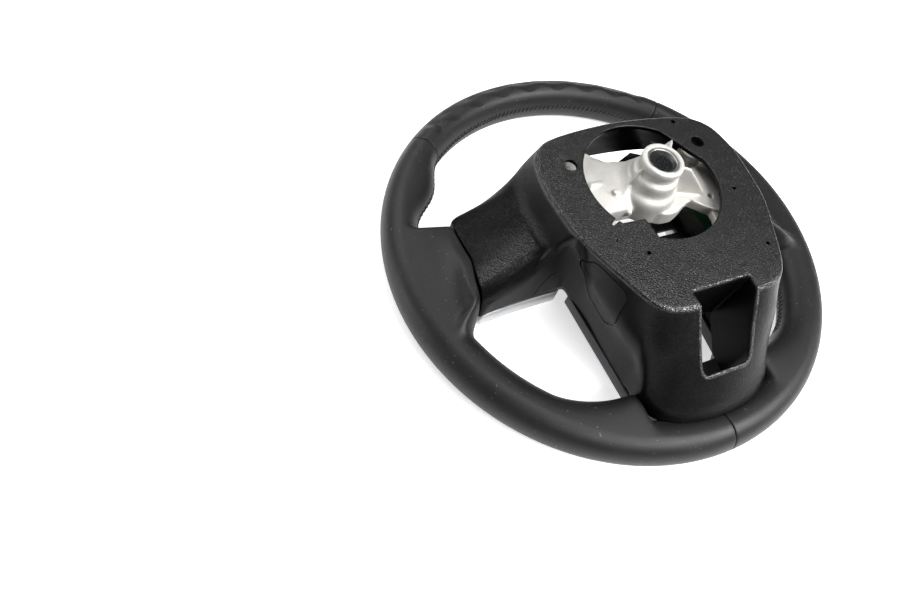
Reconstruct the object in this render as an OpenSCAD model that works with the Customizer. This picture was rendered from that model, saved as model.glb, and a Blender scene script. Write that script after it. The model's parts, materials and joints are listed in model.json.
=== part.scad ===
// Three-spoke car steering wheel, lying with the driver's side down.
// Z runs along the column axis towards the column, Y points to twelve o'clock,
// and Z = 0 is the front face of the rim.

/* [Rim] */
// Outer diameter of the rim
rim_d = 380; // [370:1:392]
// Thickness of the rim along the column axis
rim_h = 32; // [30:0.5:33]
// Width of the rim from its crest to the outer edge
rim_outer_w = 16; // [15:0.5:17]
// Width of the rim from its crest to the inner edge, in the top panel
rim_inner_w = 12; // [11.5:0.5:13]
// Height of the thumb rests over the plain rim
thumb_rest_h = 9; // [4:0.5:10]
// Depth of the finger grips in the top panel
grip_depth = 2.4; // [0:0.2:3]
// Number of finger grips in the top panel
grip_count = 8; // [6:1:9]
// Angle of the upper leather seams from twelve o'clock
seam_angle = 42.7; // [38:0.5:46]
// Gap between leather panels at a seam
seam_gap = 0.3; // [0.2:0.1:0.6]

/* [Foam and ring core] */
// Diameter of the armature's ring core
core_d = 12; // [10:0.5:13]
// Diameter of the foam ring moulded round the core
foam_d = 19; // [17:0.5:20]

/* [Rear cover] */
// Height of the cover's flat back
cover_z = 93; // [88:1:95]
// Greatest width of the flat back
plateau_w = 170; // [164:1:174]
// Distance from the axis to the flat back's upper edge
plateau_top = 56; // [54:0.5:58]
// Distance from the axis to the flat back's lower edge
plateau_bottom = 104.5; // [102:0.5:107]
// Wall of the moulded cover
cover_wall = 2.8; // [2.2:0.1:3.2]
// Radius of the window round the hub
window_r = 52.5; // [50:0.5:54]
// Distance from the axis to the flat on the window's upper right
window_flat = 47; // [44:0.5:50]
// Half width of the side spokes at the leather seam
spoke_end_x = 131; // [129:0.5:133]
// Width of the slot in the lower spoke at its top
slot_w = 49; // [40:1:52]
// Upper edge of the slot, below the axis
slot_top = 94; // [92:0.5:98]
// Lower edge of the slot, below the axis
slot_bottom = 141; // [134:0.5:144]
// Radius of the two access holes
access_r = 5.2; // [4:0.1:6]
// Clearance between the side lids and the cover
lid_gap = 0.3; // [0.2:0.05:0.5]

/* [Hub] */
// Height of the hub's top face
hub_z = 109.5; // [107:0.5:112]
// Outer radius of the ring at the hub's top
hub_ring_r = 15.7; // [14.5:0.1:17]
// Bore radius of the steel sleeve
shaft_r = 9.4; // [8:0.1:9.8]
// Outer radius of the steel sleeve
sleeve_r = 12; // [11:0.1:12.4]
// Thickness of the armature's centre plate
plate_t = 6; // [5:0.5:7]
// Height of the armature's centre plate at its top
plate_z = 82; // [80:0.5:84]

/* [Airbag pins] */
// Half distance between the two upper pins
pin_x = 57; // [55:0.5:58]
// Height of the upper pins above the axis
pin_y = 24; // [22:0.5:26]
// Distance of the lower pin below the axis
pin_low_y = 75; // [72:0.5:77]
// Bore radius of the pin bushes
pin_r = 4.2; // [3.5:0.1:4.6]
// Outer radius of the pin bushes
bush_r = 6.5; // [6:0.1:7]
// Diameter of the spring wires
wire_d = 2.4; // [1.8:0.1:2.6]

/* [Spoke trims and switches] */
// Height of the silver frames from front to back
trim_h = 14; // [12:0.5:14.5]
// Wall of the silver frames
trim_wall = 4; // [3:0.25:5]
// Clearance round the buttons and rockers
key_gap = 0.35; // [0.25:0.05:0.5]
// Diameter of the push buttons
button_d = 14; // [11:0.5:15]
// Travel of the push buttons
button_travel = 1; // [0.5:0.1:1.2]
// Length of the rockers
rocker_l = 36; // [28:1:38]
// Width of the rockers
rocker_w = 15; // [11:0.5:16]
// Height of the strip frame along the lower spoke
strip_h = 10.4; // [8:0.2:10.6]
// Wall of the strip frame
strip_w = 3.6; // [3:0.2:4.5]

/* [Hidden] */

$fn = 96;
eps = 0.01;
fit = 0.05;
rim_z = rim_h / 2;
crest_r = rim_d / 2 - rim_outer_w;
core_r = core_d / 2;
foam_r = foam_d / 2;
leather_black = "#2b2b2c";
cover_black = "#323233";
cast_grey = "#d9d7d0";
silver = "#d8dadc";

// Helpers: blends between 0 and 1, and a smooth bump
function lerp(a, b, t) = a + (b - a) * t;
function clamp01(t) = min(1, max(0, t));
function smooth(t) = let (u = clamp01(t)) u * u * (3 - 2 * u);
function bump(x, centre, half) = abs(x - centre) >= half ? 0 : pow(cos(90 * (x - centre) / half), 2);

// Catmull-Rom point between b and c
function catmull(a, b, c, d, t) =
    0.5 * (2 * b + (c - a) * t + (2 * a - 5 * b + 4 * c - d) * t * t + (3 * b - a - 3 * c + d) * t * t * t);

// A list of points refined to m steps between neighbours, mirrored past both ends
function flip(p) = len(p) == 3 ? [-p[0], p[1], p[2]] : [-p[0], p[1]];
function refine(list, m) = let (n = len(list)) [
    for (i = [0 : n - 2], j = [0 : m - 1])
        catmull(i == 0 ? flip(list[1]) : list[i - 1], list[i], list[i + 1],
            i + 2 > n - 1 ? flip(list[n - 2]) : list[i + 2], j / m),
    list[n - 1]];

// Faces of a closed grid of rings, each ring with n points; the rings close on themselves
function torus_faces(rings, n) = [
    for (i = [0 : rings - 1], j = [0 : n - 1])
        let (a = i * n + j, b = i * n + (j + 1) % n, c = ((i + 1) % rings) * n + (j + 1) % n,
            d = ((i + 1) % rings) * n + j)
        each [[a, b, c], [a, c, d]]];

// Faces of a tube of rings with flat ends
function tube_faces(rings, n) = [
    for (i = [0 : rings - 2], j = [0 : n - 1])
        let (a = i * n + j, b = i * n + (j + 1) % n, c = (i + 1) * n + (j + 1) % n, d = (i + 1) * n + j)
        each [[a, b, c], [a, c, d]],
    [for (j = [n - 1 : -1 : 0]) j],
    [for (j = [0 : n - 1]) (rings - 1) * n + j]];

// Leather rim: the section at an angle counted from +X, left half from 90 to 270 degrees
spoke_low = 193;
spoke_high = 162.6;
web_start = 224;
web_end = 246;

// X of the seam between the left spoke's leather and the cover, at a height y
function seam_x(y) = spoke_end_x + 6 * smooth((8 - y) / 32);

// Height at which a ray at an angle meets that seam
function seam_y(a) = spoke_end_x * 1.03 * sin(a);

// How far the section belongs to the side spoke's root
function in_root(a) = smooth((a - spoke_high) / 3.2) * (1 - smooth((a - spoke_low) / 6.5));

// How boxy its section is: round at both edges of the spoke, flat between them
function in_flat(a) = smooth((a - spoke_high - 1) / 7) * (1 - smooth((a - spoke_low + 7) / 9));

// The spoke's edges run straight to the hub, so inner points turn a little towards twelve o'clock
function swirl(a, x) = -0.12 * max(0, -x - 10) * (1 - smooth((a - 163) / 12)) * smooth((a - 156) / 6);

// How far it belongs to the web beside the lower spoke
function in_web(a) = pow(clamp01((a - web_start) / (web_end - web_start)), 1.5)
    * (1 - smooth((a - 247.2) / 3.4));

function plain_inner(a) = lerp(rim_inner_w, 19, smooth((a - 150) / 55)) * (1 - smooth((a - 247.2) / 3.4))
    + rim_outer_w * smooth((a - 247.2) / 3.4);

// Width from the crest to the inner edge
function inner_w(a) =
    let (w = plain_inner(a) + thumb_rest_h * bump(a, 146.5, 14) + 14.5 * in_web(a), b = a + swirl(a, -38),
        root = crest_r - seam_x(seam_y(b)) / max(abs(cos(b)), 0.5))
    lerp(w, root, in_root(a));

// Height of the back of the section at its inner side
function inner_h(a) = rim_h / 2 + in_root(a) * lerp(-1, 8.5, smooth((a - 163) / 26));

// Depth of the finger grips
function grip(a) = grip_depth * smooth((abs(a - 90) - seam_angle + 4) / -4)
    * (0.5 + 0.5 * cos(360 * (a - 90) / (2 * seam_angle) * grip_count));

function section_point(a, t, grips) =
    let (c = cos(t), s = sin(t), box = 1 - 0.66 * max(in_flat(a), in_web(a)),
        crisp = 1 - max(0.9 * in_flat(a), 0.66 * in_web(a)),
        w = c < 0 ? inner_w(a) : rim_outer_w,
        h = c < 0 && s > 0 ? lerp(rim_h / 2, inner_h(a), smooth(-1.6 * c)) : rim_h / 2,
        x = c < 0 ? -w * pow(-c, box) : w * c,
        z = h * sign(s) * pow(abs(s), c < 0 ? crisp : 1),
        dent = grips ? grip(a) * bump(t, 97, 46) : 0,
        r = crest_r + x - dent * max(0.3, c), turned = a + swirl(a, x))
    [r * cos(turned), r * sin(turned), rim_z + z - dent * s];

module leather_tube(angles, sides, grips) {
    points = [for (a = angles, k = [0 : sides - 1]) section_point(a, 360 * k / sides, grips)];
    polyhedron(points, tube_faces(len(angles), sides), convexity = 6);
}

module core_ring(r) {
    translate([0, 0, rim_z])
        rotate_extrude()
            translate([crest_r, 0])
                circle(r);
}

// Where the armature's spokes pass through foam and leather
tunnel_gap = 0.5;
module spoke_tunnels(gap) {
    for (side = [-1, 1]) {
        translate([side * (crest_r - 28), spoke_mid_y, rim_z])
            cube([56, spoke_end_w + 2 * gap, spoke_end_h + 2 * gap], center = true);
        translate([side * bar_x, -crest_r + 14, rim_z])
            cube([bar_w + 2 * gap, 34, spoke_end_h + 2 * gap], center = true);
    }
}

// Room for the lower spoke's cover, cut out of the leather's web only
module lower_spoke_room() {
    room = [[56, -108], [56, -123], [56.9, -134], [53.6, -143.5], [48.6, -153], [38, -162]];
    linear_extrude(60)
        intersection() {
            polygon(concat(room, [for (i = [len(room) - 1 : -1 : 0]) flip(room[i])]));
            circle(r = crest_r - rim_outer_w - 0.3);
        }
}

top_angles = [for (i = [0 : 54]) lerp(90 - seam_angle, 90 + seam_angle, i / 54)];
module rim_leather_top() {
    color(leather_black)
        difference() {
            leather_tube(top_angles, 16, true);
            core_ring(foam_r + fit);
        }
}

// Closer steps where the section changes quickly
seam_half = seam_gap / crest_r * 57.3;
side_angles = concat(
    [for (a = [90 + seam_angle + seam_half : 2.75 : 158]) a],
    [for (a = [159.5 : 0.9 : 166.8]) a],
    [for (a = [169 : 4.4 : 191]) a],
    [for (a = [193.2 : 1.2 : 200]) a],
    [for (a = [203.5 : 3.5 : 246]) a],
    [for (a = [247.5 : 1.1 : 251]) a],
    [for (a = [254 : 4.6 : 268]) a], [270 - seam_half]);
module rim_leather_left() {
    color(leather_black)
        difference() {
            leather_tube(side_angles, 22, false);
            core_ring(foam_r + fit);
            spoke_tunnels(tunnel_gap);
            lower_spoke_room();
        }
}

module rim_leather_right() {
    mirror([1, 0, 0])
        rim_leather_left();
}

module rim_foam() {
    color("#8f8b80")
        difference() {
            core_ring(foam_r);
            core_ring(core_r + fit);
            spoke_tunnels(tunnel_gap);
        }
}

// Armature
spoke_mid_y = 4;
spoke_end_w = 26;
spoke_end_h = 9;
bar_x = 42.5;
bar_w = 7;
foot_r = 22.5;
skirt_z = 69;
skirt_h = 11.5;

// Side view of the two side spokes, from the axis to the ring core
module side_spoke_profile() {
    low = rim_z - spoke_end_h / 2;
    high = rim_z + spoke_end_h / 2;
    polygon([[0, plate_z - plate_t], [70, plate_z - plate_t], [81, 54], [100, 31], [113, 18],
        [124, low], [crest_r, low], [crest_r, high], [128, high], [116, 27], [103, 37], [85, 57],
        [73, plate_z], [0, plate_z]]);
}

// Outer part of a side spoke in plan, for the right half
spoke_plan = [[68, 37], [78, 30], [100, spoke_mid_y + 17], [128, spoke_mid_y + spoke_end_w / 2],
    [crest_r, spoke_mid_y + spoke_end_w / 2], [crest_r, spoke_mid_y - spoke_end_w / 2],
    [128, spoke_mid_y - spoke_end_w / 2], [90, -14], [71, -23]];

// The right wing is cut back above the fin, the left one is drawn in towards the hub
right_wing = concat([[0, 18], [14, 18], [22, 9], [52, 11], [59, 12], [62, 18], [60, 33]], spoke_plan,
    [[58, -42], [40, -46], [41, -31], [37.5, -28], [27.6, -19], [19, -22.7], [0, -20]]);
left_wing = concat([[0, 18], [5, 25.5], [14, 27], [20, 31.5], [26, 36.5], [31, 42], [50, 42]], spoke_plan,
    [[58, -42], [40, -46], [39, -12.5], [13.5, -12.5], [7.2, -17.2], [0, -20]]);

module side_spoke(plan) {
    intersection() {
        rotate([90, 0, 0])
            translate([0, 0, -60])
                linear_extrude(120)
                    side_spoke_profile();
        linear_extrude(plate_z)
            difference() {
                polygon(plan);
                translate([92, 6])
                    circle(8);
            }
    }
    // stiffening flange along the spoke
    intersection() {
        rotate([90, 0, 0])
            translate([0, 0, -60])
                linear_extrude(120)
                    translate([0, 1.5])
                        side_spoke_profile();
        linear_extrude(plate_z + 2)
            polygon([[84, 24], [100, 20], [126, 16], [126, 12.5], [100, 16.5], [84, 20.5]]);
    }
}

// Side view of the two lower bars
module lower_bar() {
    low = rim_z - spoke_end_h / 2;
    high = rim_z + spoke_end_h / 2;
    translate([bar_x + bar_w / 2, 0, 0])
        rotate([90, 0, -90])
            linear_extrude(bar_w)
                polygon([[40, plate_z - plate_t], [64, plate_z - plate_t], [94, 70], [112, 50], [128, 27],
                    [139, low], [crest_r - 1, low], [crest_r - 1, high], [142, high], [133, 34], [117, 57],
                    [98, 77], [66, plate_z], [40, plate_z]]);
}

// Hub tower: top ring, undercut neck, and two rounded steps
module hub_tower() {
    rotate_extrude()
        polygon([[sleeve_r + fit, skirt_z + 1], [foot_r, skirt_z + 1], [foot_r, plate_z + 1],
            [foot_r - 0.6, plate_z + 4], [foot_r - 2, plate_z + 6], [foot_r - 3.8, plate_z + 7.2],
            [foot_r - 4.6, plate_z + 9], [foot_r - 4.8, hub_z - 13], [foot_r - 5.6, hub_z - 11.2],
            [hub_ring_r - 1.6, hub_z - 10], [hub_ring_r - 1.4, hub_z - 6], [hub_ring_r, hub_z - 4.8],
            [hub_ring_r, hub_z - 0.8], [hub_ring_r - 0.8, hub_z], [sleeve_r + 0.4, hub_z],
            [sleeve_r + fit, hub_z - 0.4]]);
}

// A thin web on the hub: side view [distance from the axis, height]
module hub_web(angle, thickness, side_view) {
    rotate([0, 0, angle])
        rotate([90, 0, 0])
            translate([0, 0, -thickness / 2])
                linear_extrude(thickness)
                    polygon(side_view);
}

// Broad saddle that rises in a hollow curve from the left wing to the hub's neck
module left_saddle() {
    intersection() {
        rotate_extrude()
            polygon([[sleeve_r + fit, plate_z - 5], [54, plate_z - 5], [54, plate_z + 0.2],
                [46, plate_z + 0.5], [38, plate_z + 1.4],
                [32, plate_z + 2.7], [27, plate_z + 4.6], [23.5, plate_z + 6.8],
                [21, plate_z + 9.4], [19.4, plate_z + 12], [sleeve_r + fit, plate_z + 16]]);
        linear_extrude(hub_z)
            polygon([[-56, 42], [-38, 40], [-33.5, 37.5], [-28.7, 33.9], [-22, 29.7], [-14, 26.3], [-9, 22.4],
                [-1, 21], [4, 20], [0, 0], [-4, -15], [-12, -13.9], [-56, -13.9]]);
        // it slopes off towards the lower edge
        translate([10, 0, 0])
            rotate([90, 0, -90])
                linear_extrude(70)
                    polygon([[14, 0], [14, skirt_z + skirt_h], [10, plate_z + 2], [6, plate_z + 5],
                        [0, plate_z + 10], [-8, plate_z + 16], [-50, plate_z + 16], [-50, 0]]);
    }
}

// Upright wall that stiffens the left wing's lower edge and runs on round the foot of the hub
module skirt() {
    translate([0, 0, skirt_z])
        linear_extrude(skirt_h)
            polygon([[-58, -14], [-12, -14], [-7, -17.3], [-2.5, -22], [3, -24.4], [8, -25.2], [14, -25],
                [19, -22.9], [24, -20.6], [29, -17], [31, -10], [27, 0], [20, 8], [sleeve_r + 2, 2], [4, -18],
                [-6, -12], [-12.4, -9.5], [-58, -9.5]]);
}

module armature() {
    color(cast_grey)
        difference() {
            union() {
                core_ring(core_r);
                side_spoke(right_wing);
                mirror([1, 0, 0])
                    side_spoke(left_wing);
                lower_bar();
                mirror([1, 0, 0])
                    lower_bar();
                // bridge between the bars for the lower pin
                translate([-bar_x, -pin_low_y - 12, plate_z - plate_t])
                    cube([2 * bar_x, 24, plate_t]);
                hub_tower();
                left_saddle();
                skirt();
                // large fin, small rib, raised lip, and the pointed lug behind the ring
                hub_web(-20, 2.4, [[14, plate_z - 2], [14, hub_z - 5], [hub_ring_r + 2, hub_z - 4.5],
                    [24, hub_z - 5.5], [44.5, plate_z + 3.5], [46, plate_z - 5.5], [40, plate_z - 6]]);
                hub_web(180, 1.8, [[14, plate_z], [14, hub_z - 6], [16.5, hub_z - 6.5], [19.5, plate_z + 13],
                    [22.5, plate_z + 5], [24, plate_z]]);
                translate([0, 0, plate_z - 2])
                    linear_extrude(4)
                        polygon([[30, -19], [38, -26], [42, -29.5], [58, -39.5], [58, -42], [41, -31.4],
                            [37.5, -28.2], [29, -20.5]]);
                translate([16.5, 14.7, plate_z - 2])
                    cylinder(r1 = 8, r2 = 5, h = 18);
                translate([16, 14.6, plate_z + 16])
                    cylinder(r1 = 5, r2 = 0.7, h = hub_z - plate_z - 15.5);
                // pin bosses round the bushes
                for (p = pin_places)
                    translate([p[0], p[1], plate_z - plate_t - 4])
                        cylinder(r = bush_r + 3, h = plate_t + 5.5);
                // small cast stops on the left wing
                translate([-44, 10.8, plate_z + 0.3])
                    rotate([0, 90, 0])
                        cylinder(r = 2.4, h = 11);
                translate([-30, -1.4, plate_z])
                    cylinder(r = 2.2, h = 5.5);
                translate([-21.5, -13, plate_z - 4.5])
                    rotate([90, 0, 0])
                        cylinder(r = 2, h = 3.6);
            }
            translate([0, 0, skirt_z - 4])
                cylinder(r = sleeve_r + fit, h = 60);
            for (p = pin_places)
                translate([p[0], p[1], plate_z - 40])
                    cylinder(r = bush_r + fit, h = 80);
            for (p = screw_places)
                translate([p[0], p[1], plate_z - 40])
                    cylinder(r = screw_hole_r, h = 80);
            // hole in the right wing, and lightening holes in the bridge
            translate([49, -19, plate_z - 20])
                cylinder(r = 2, h = 40);
            for (side = [-1, 1])
                translate([side * 19, -pin_low_y, plate_z - 20])
                    cylinder(r = 5, h = 40);
        }
}

// Splined sleeve of the hub: the shaft enters from the column side
sleeve_low = skirt_z + 2;
module hub_sleeve() {
    color("#8d8f90")
        difference() {
            translate([0, 0, sleeve_low])
                cylinder(r = sleeve_r, h = hub_z - 1 - sleeve_low);
            translate([0, 0, sleeve_low - 1])
                cylinder(r = shaft_r, h = hub_z);
            translate([0, 0, hub_z - 1.6])
                cylinder(r1 = shaft_r, r2 = shaft_r + 0.7, h = 0.7);
        }
}

// Rear cover: each station runs from the cover's open edge over its shoulder to the flat back
half_w = plateau_w / 2;
edge_z = 15.2;
low_z = 11;
top_z = 53;

// Height of the leather below a point of the lower edge
function leather_z(p) = let (r = norm([p[0], p[1]]), d = min(rim_outer_w, abs(crest_r - r)))
    r < crest_r - rim_outer_w ? 0 : rim_z + rim_h / 2 * sqrt(1 - pow(d / rim_outer_w, 2)) + 1.2;
function foot_point(x, y) = [x, y, max(leather_z([x, y]), 22)];

function end_x(y) = seam_x(y) - 0.6;

// open edge
edge_points = [[0, 65, top_z], [34, 63.5, top_z], [62, 58, top_z], [82, 50.5, 44], [96, 48.5, 26],
    [114, 48, 17], [end_x(47) - 3.5, 47.3, edge_z], [end_x(42), 42.5, edge_z], [end_x(25), 25, edge_z],
    [end_x(7), 7, edge_z], [end_x(-10), -10, edge_z], [end_x(-24), -24, edge_z],
    [end_x(-32) - 1.5, -32.5, edge_z], [126, -31.5, edge_z], [106, -30, edge_z], [85, -28.8, edge_z],
    [70, -28.4, edge_z + 0.2], [60.5, -28.8, edge_z], [53, -37, low_z], [49.5, -56, low_z], [49, -75, low_z],
    [48.5, -95, low_z], [49, -110, low_z + 1], [53, -123, 17], [56, -134, 20], foot_point(53, -144),
    foot_point(48, -153.5), foot_point(36.5, -160.5), foot_point(18, -164.8), foot_point(0, -166)];

// shoulder, where side walls turn into the spoke's back
shoulder_points = [[0, 63, 66], [34, 61.5, 66], [61.5, 56, 66], [80, 50.2, 57], [94, 48.6, 46],
    [114, 48, 33], [end_x(47) - 4.5, 46.8, 31], [end_x(42) - 1, 41.5, 31.5], [end_x(25) - 1, 25, 33.5],
    [end_x(7) - 1, 7, 35.5], [end_x(-10) - 1, -9.5, 38], [end_x(-24) - 2, -21, 40.2],
    [end_x(-32) - 5, -26.5, 41], [123, -25.8, 43.5], [106, -24, 50.5], [86, -24.8, 63],
    [75, -28.5, 74], [67, -37, 64], [61.5, -45, 52], [59.5, -57, 48], [56.5, -75, 46],
    [54.5, -94, 44], [54.5, -110, 42], [55.5, -122, 40], [56.2, -133, 36], [52.5, -142.5, 35],
    [46, -150.5, 36], [34, -155.5, 37.5], [17, -158.5, 39], [0, -159.5, 39.5]];

// foot of the steep wall below the flat back
knee_points = [[0, 60.3, 79], [34, 58.6, 79], [61, 53.6, 79], [76, 47.5, 75.5], [84, 43.5, 66],
    [88.5, 38.5, 61], [90, 33, 60], [91, 26, 60], [92, 15, 60], [92, 4, 60], [91.6, -6, 60],
    [90.5, -14, 61], [89.5, -19, 62], [88.8, -21.5, 63.5], [87.8, -23.6, 66.5], [84.5, -26.6, 73],
    [79.5, -31.5, 83], [75.5, -38.5, 81], [73.8, -45.5, 78], [70, -58, 77], [65.5, -72, 76],
    [60.5, -86, 74], [55, -97.5, 72], [50.5, -107, 68], [46.5, -114, 66], [39.5, -119, 65],
    [30.5, -121.5, 65], [21, -122.5, 65], [10.5, -123, 65], [0, -123, 65]];

// edge of the flat back, as shares of its half width, its top and its bottom
function plateau_point(u, v) = [u * half_w, v > 0 ? v * plateau_top : v * plateau_bottom];
plateau_points = [for (p = [[0, 1], [0.4, 0.965], [0.72, 0.885], [0.84, 0.79], [0.905, 0.69], [0.94, 0.6],
    [0.962, 0.5], [0.978, 0.4], [0.995, 0.24], [1, 0.05], [0.99, -0.08], [0.98, -0.16], [0.974, -0.21],
    [0.97, -0.245], [0.966, -0.275], [0.96, -0.305], [0.952, -0.335], [0.937, -0.385], [0.912, -0.445],
    [0.853, -0.56], [0.783, -0.69], [0.712, -0.82], [0.64, -0.91], [0.555, -0.965], [0.45, -0.99],
    [0.36, -0.998], [0.27, -1], [0.18, -1], [0.09, -1], [0, -1]]) plateau_point(p[0], p[1])];

steps = 2;
function closed(half) = concat(half, [for (i = [len(half) - 2 : -1 : 1]) flip(half[i])]);
edge_ring = closed(refine(edge_points, steps));
shoulder_ring = closed(refine(shoulder_points, steps));
knee_ring = closed(refine(knee_points, steps));
plateau_ring = [for (p = closed(refine(plateau_points, steps))) [p[0], p[1], cover_z]];
ring_n = len(edge_ring);

// Inward direction in plan at a point of a ring that runs clockwise
function inward(ring, i) =
    let (a = ring[(i + ring_n - 1) % ring_n], b = ring[(i + 1) % ring_n], d = [b[0] - a[0], b[1] - a[1]])
    [d[1], -d[0]] / max(norm(d), eps);
function inset(ring, side, down) = [for (i = [0 : ring_n - 1]) let (n = inward(ring, i))
    [ring[i][0] + n[0] * side, ring[i][1] + n[1] * side, ring[i][2] - down]];

// A ring between two others
function between(a, b, t) = [for (i = [0 : ring_n - 1]) lerp(a[i], b[i], t)];

// The ring half way from shoulder to knee: hollow on the side spokes, full at the foot
spoke_hollow = 3.5;
foot_fullness = 2.3;
hollow_ring = [for (i = [0 : len(knee_ring) - 1])
    let (a = shoulder_ring[i], b = knee_ring[i], p = lerp(a, b, 0.5), run = norm([a[0] - b[0], a[1] - b[1]]),
        sag = lerp(spoke_hollow, -foot_fullness, smooth((-90 - p[1]) / 40)))
    [p[0], p[1], p[2] - sag * clamp01((run - 8) / 30)]];
blank_r = 40;
function window_ring(z) = [for (p = plateau_ring) let (q = [p[0], p[1]]) [
    blank_r * q[0] / norm(q), blank_r * q[1] / norm(q), z]];
round_ring = inset(plateau_ring, 1.6, 0);
wall_ring = [for (i = [0 : ring_n - 1]) let (p = lerp(plateau_ring[i], knee_ring[i], 0.16))
    [p[0], p[1], cover_z - 1.6]];

function cover_rings(w) = [
    edge_ring,
    between(edge_ring, shoulder_ring, 0.88),
    between(shoulder_ring, knee_ring, 0.06),
    hollow_ring,
    knee_ring,
    wall_ring,
    round_ring,
    window_ring(cover_z),
    window_ring(cover_z - w),
    inset(round_ring, w, w),
    inset(knee_ring, w, 1),
    inset(hollow_ring, w * 0.6, w),
    inset(shoulder_ring, w, w),
    inset(edge_ring, w, 0)];

module cover_shell() {
    rings = cover_rings(cover_wall);
    polyhedron([for (r = rings) each r], torus_faces(len(rings), ring_n), convexity = 12);
}

// The part of the shell between two stations of the right half, below the flat back
wall_rings = [0, 1, 2, 3, 4, 5, 10, 11, 12, 13];
function cap(base, turned) = [for (t = [[0, 1, 9], [1, 8, 9], [1, 2, 8], [2, 3, 8], [3, 7, 8], [3, 4, 7],
    [4, 6, 7], [4, 5, 6]]) [for (k = turned ? [2, 1, 0] : [0, 1, 2]) base + t[k]]];
module cover_sector(first, last) {
    rings = cover_rings(cover_wall);
    n = len(wall_rings);
    count = last - first + 1;
    points = [for (i = [first : last], r = wall_rings) rings[r][i]];
    sides = [for (i = [0 : count - 2], j = [0 : n - 1])
        let (a = i * n + j, b = i * n + (j + 1) % n, c = (i + 1) * n + (j + 1) % n, d = (i + 1) * n + j)
        each [[a, c, b], [a, d, c]]];
    polyhedron(points, concat(sides, cap(0, false), cap((count - 1) * n, true)), convexity = 6);
}

// Window round the hub: a circle with a flat and a pad left standing at the lower left
module window_outline() {
    difference() {
        translate([-0.5, -2])
            circle(window_r);
        rotate(31)
            translate([window_flat, -60])
                square([30, 120]);
        polygon([[-60, -31], [-26, -32], [-25, -37], [-24, -60], [-60, -60]]);
    }
    // relief slit beside the pad
    polygon([[-52.5, -30.5], [-44, -28], [-44, -32], [-52, -33]]);
}

slot_end_w = slot_w - 8;
module slot_outline(grow) {
    offset(delta = grow)
        hull() {
            for (side = [-1, 1]) {
                translate([side * (slot_w / 2 - 1.5), -slot_top - 1.5])
                    circle(1.5, $fn = 32);
                translate([side * (slot_end_w / 2 - 4), -slot_bottom + 4])
                    circle(4, $fn = 32);
            }
        }
}

// Inner wall of the slot, kept under the cover's outer skin
slot_wall = 2;
module slot_walls() {
    intersection() {
        translate([0, 0, 25])
            linear_extrude(75)
                difference() {
                    slot_outline(slot_wall);
                    slot_outline(0);
                }
        translate([-50, 0, 0])
            rotate([90, 0, 90])
                linear_extrude(100)
                    polygon([[-80, cover_z - 1], [-plateau_bottom + 1, cover_z - 1], [-122.5, 64.5],
                        [-150, 43.5], [-150, 26], [-120, 27], [-98, 42], [-80, 60]]);
    }
}

// Rounded outline of a side lid, as seen square on from the side: circles [y, z, radius]
lid_corners = [[-43.5, 63, 8], [-56, 78, 8.5], [-73.5, 77, 9], [-76, 57, 9.5], [-71, 50, 10], [-55, 50, 9]];
module lid_outline(grow) {
    hull()
        for (c = lid_corners)
            translate([c[0], c[1]])
                circle(c[2] + grow, $fn = 40);
}

// Prism through the right side wall
module lid_prism(grow) {
    translate([40, 0, 0])
        rotate([90, 0, 90])
            linear_extrude(55)
                lid_outline(grow);
}

// Access and locating holes in the flat back
small_holes = [[48, 47, 1.8], [60, -24, 1.6], [-38.5, -58.5, 1.5], [55.7, -74.4, 1.5], [-55.6, -43.3, 0.9]];
module cover_holes() {
    for (side = [-1, 1])
        translate([side * pin_x, pin_y, cover_z - 12])
            cylinder(r = access_r, h = 24);
    for (h = small_holes)
        translate([h[0], h[1], cover_z - 12])
            cylinder(r = h[2], h = 24);
}

// Screws through the armature into bosses inside the cover
screw_places = [[-66, -4], [66, -4], [-bar_x, -52], [bar_x, -52]];
screw_r = 1.8;
screw_hole_r = 2.3;
screw_head_r = 4;
boss_r = 4.5;
module cover_bosses() {
    for (p = screw_places)
        translate([p[0], p[1], plate_z])
            difference() {
                cylinder(r = boss_r, h = cover_z - plate_z - cover_wall / 2);
                translate([0, 0, -1])
                    cylinder(r = screw_r + fit, h = 9);
            }
}

module rear_cover() {
    color(cover_black) {
        difference() {
            union() {
                cover_shell();
                slot_walls();
            }
            translate([0, 0, cover_z - 20])
                linear_extrude(40)
                    window_outline();
            translate([0, 0, 20])
                linear_extrude(100)
                    slot_outline(0);
            cover_holes();
            for (side = [0, 1])
                mirror([side, 0, 0])
                    lid_prism(lid_gap);
            // notches where the armature's spokes leave the cover
            for (side = [-1, 1])
                translate([side * spoke_end_x, spoke_mid_y, rim_z])
                    cube([24, spoke_end_w + 2 * tunnel_gap, 2 * spoke_end_h], center = true);
        }
        cover_bosses();
    }
}

lid_first = 15 * steps;
lid_last = 27 * steps;
module side_lid_right() {
    color("#262627")
        intersection() {
            cover_sector(lid_first, lid_last);
            lid_prism(0);
        }
}

module side_lid_left() {
    mirror([1, 0, 0])
        side_lid_right();
}

// Silver frame on the front of a spoke, with the switch pad inside it
trim_low = 1;
trim_outline = [[63, -28.5], [106, -30], [132, -32.5], [135.5, -27], [134.2, -17], [131.2, -4],
    [129.6, 12], [129.6, 40], [126, 46.5], [112, 47.5], [96, 46], [84, 34], [72, 8]];
module spoke_trim_right() {
    color(silver)
        difference() {
            translate([0, 0, trim_low])
                linear_extrude(trim_h)
                    polygon(trim_outline);
            translate([0, 0, trim_low - 1])
                linear_extrude(trim_h + 2)
                    pad_outline(0);
            spoke_tunnels(tunnel_gap);
        }
}

module spoke_trim_left() {
    mirror([1, 0, 0])
        spoke_trim_right();
}

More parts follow.
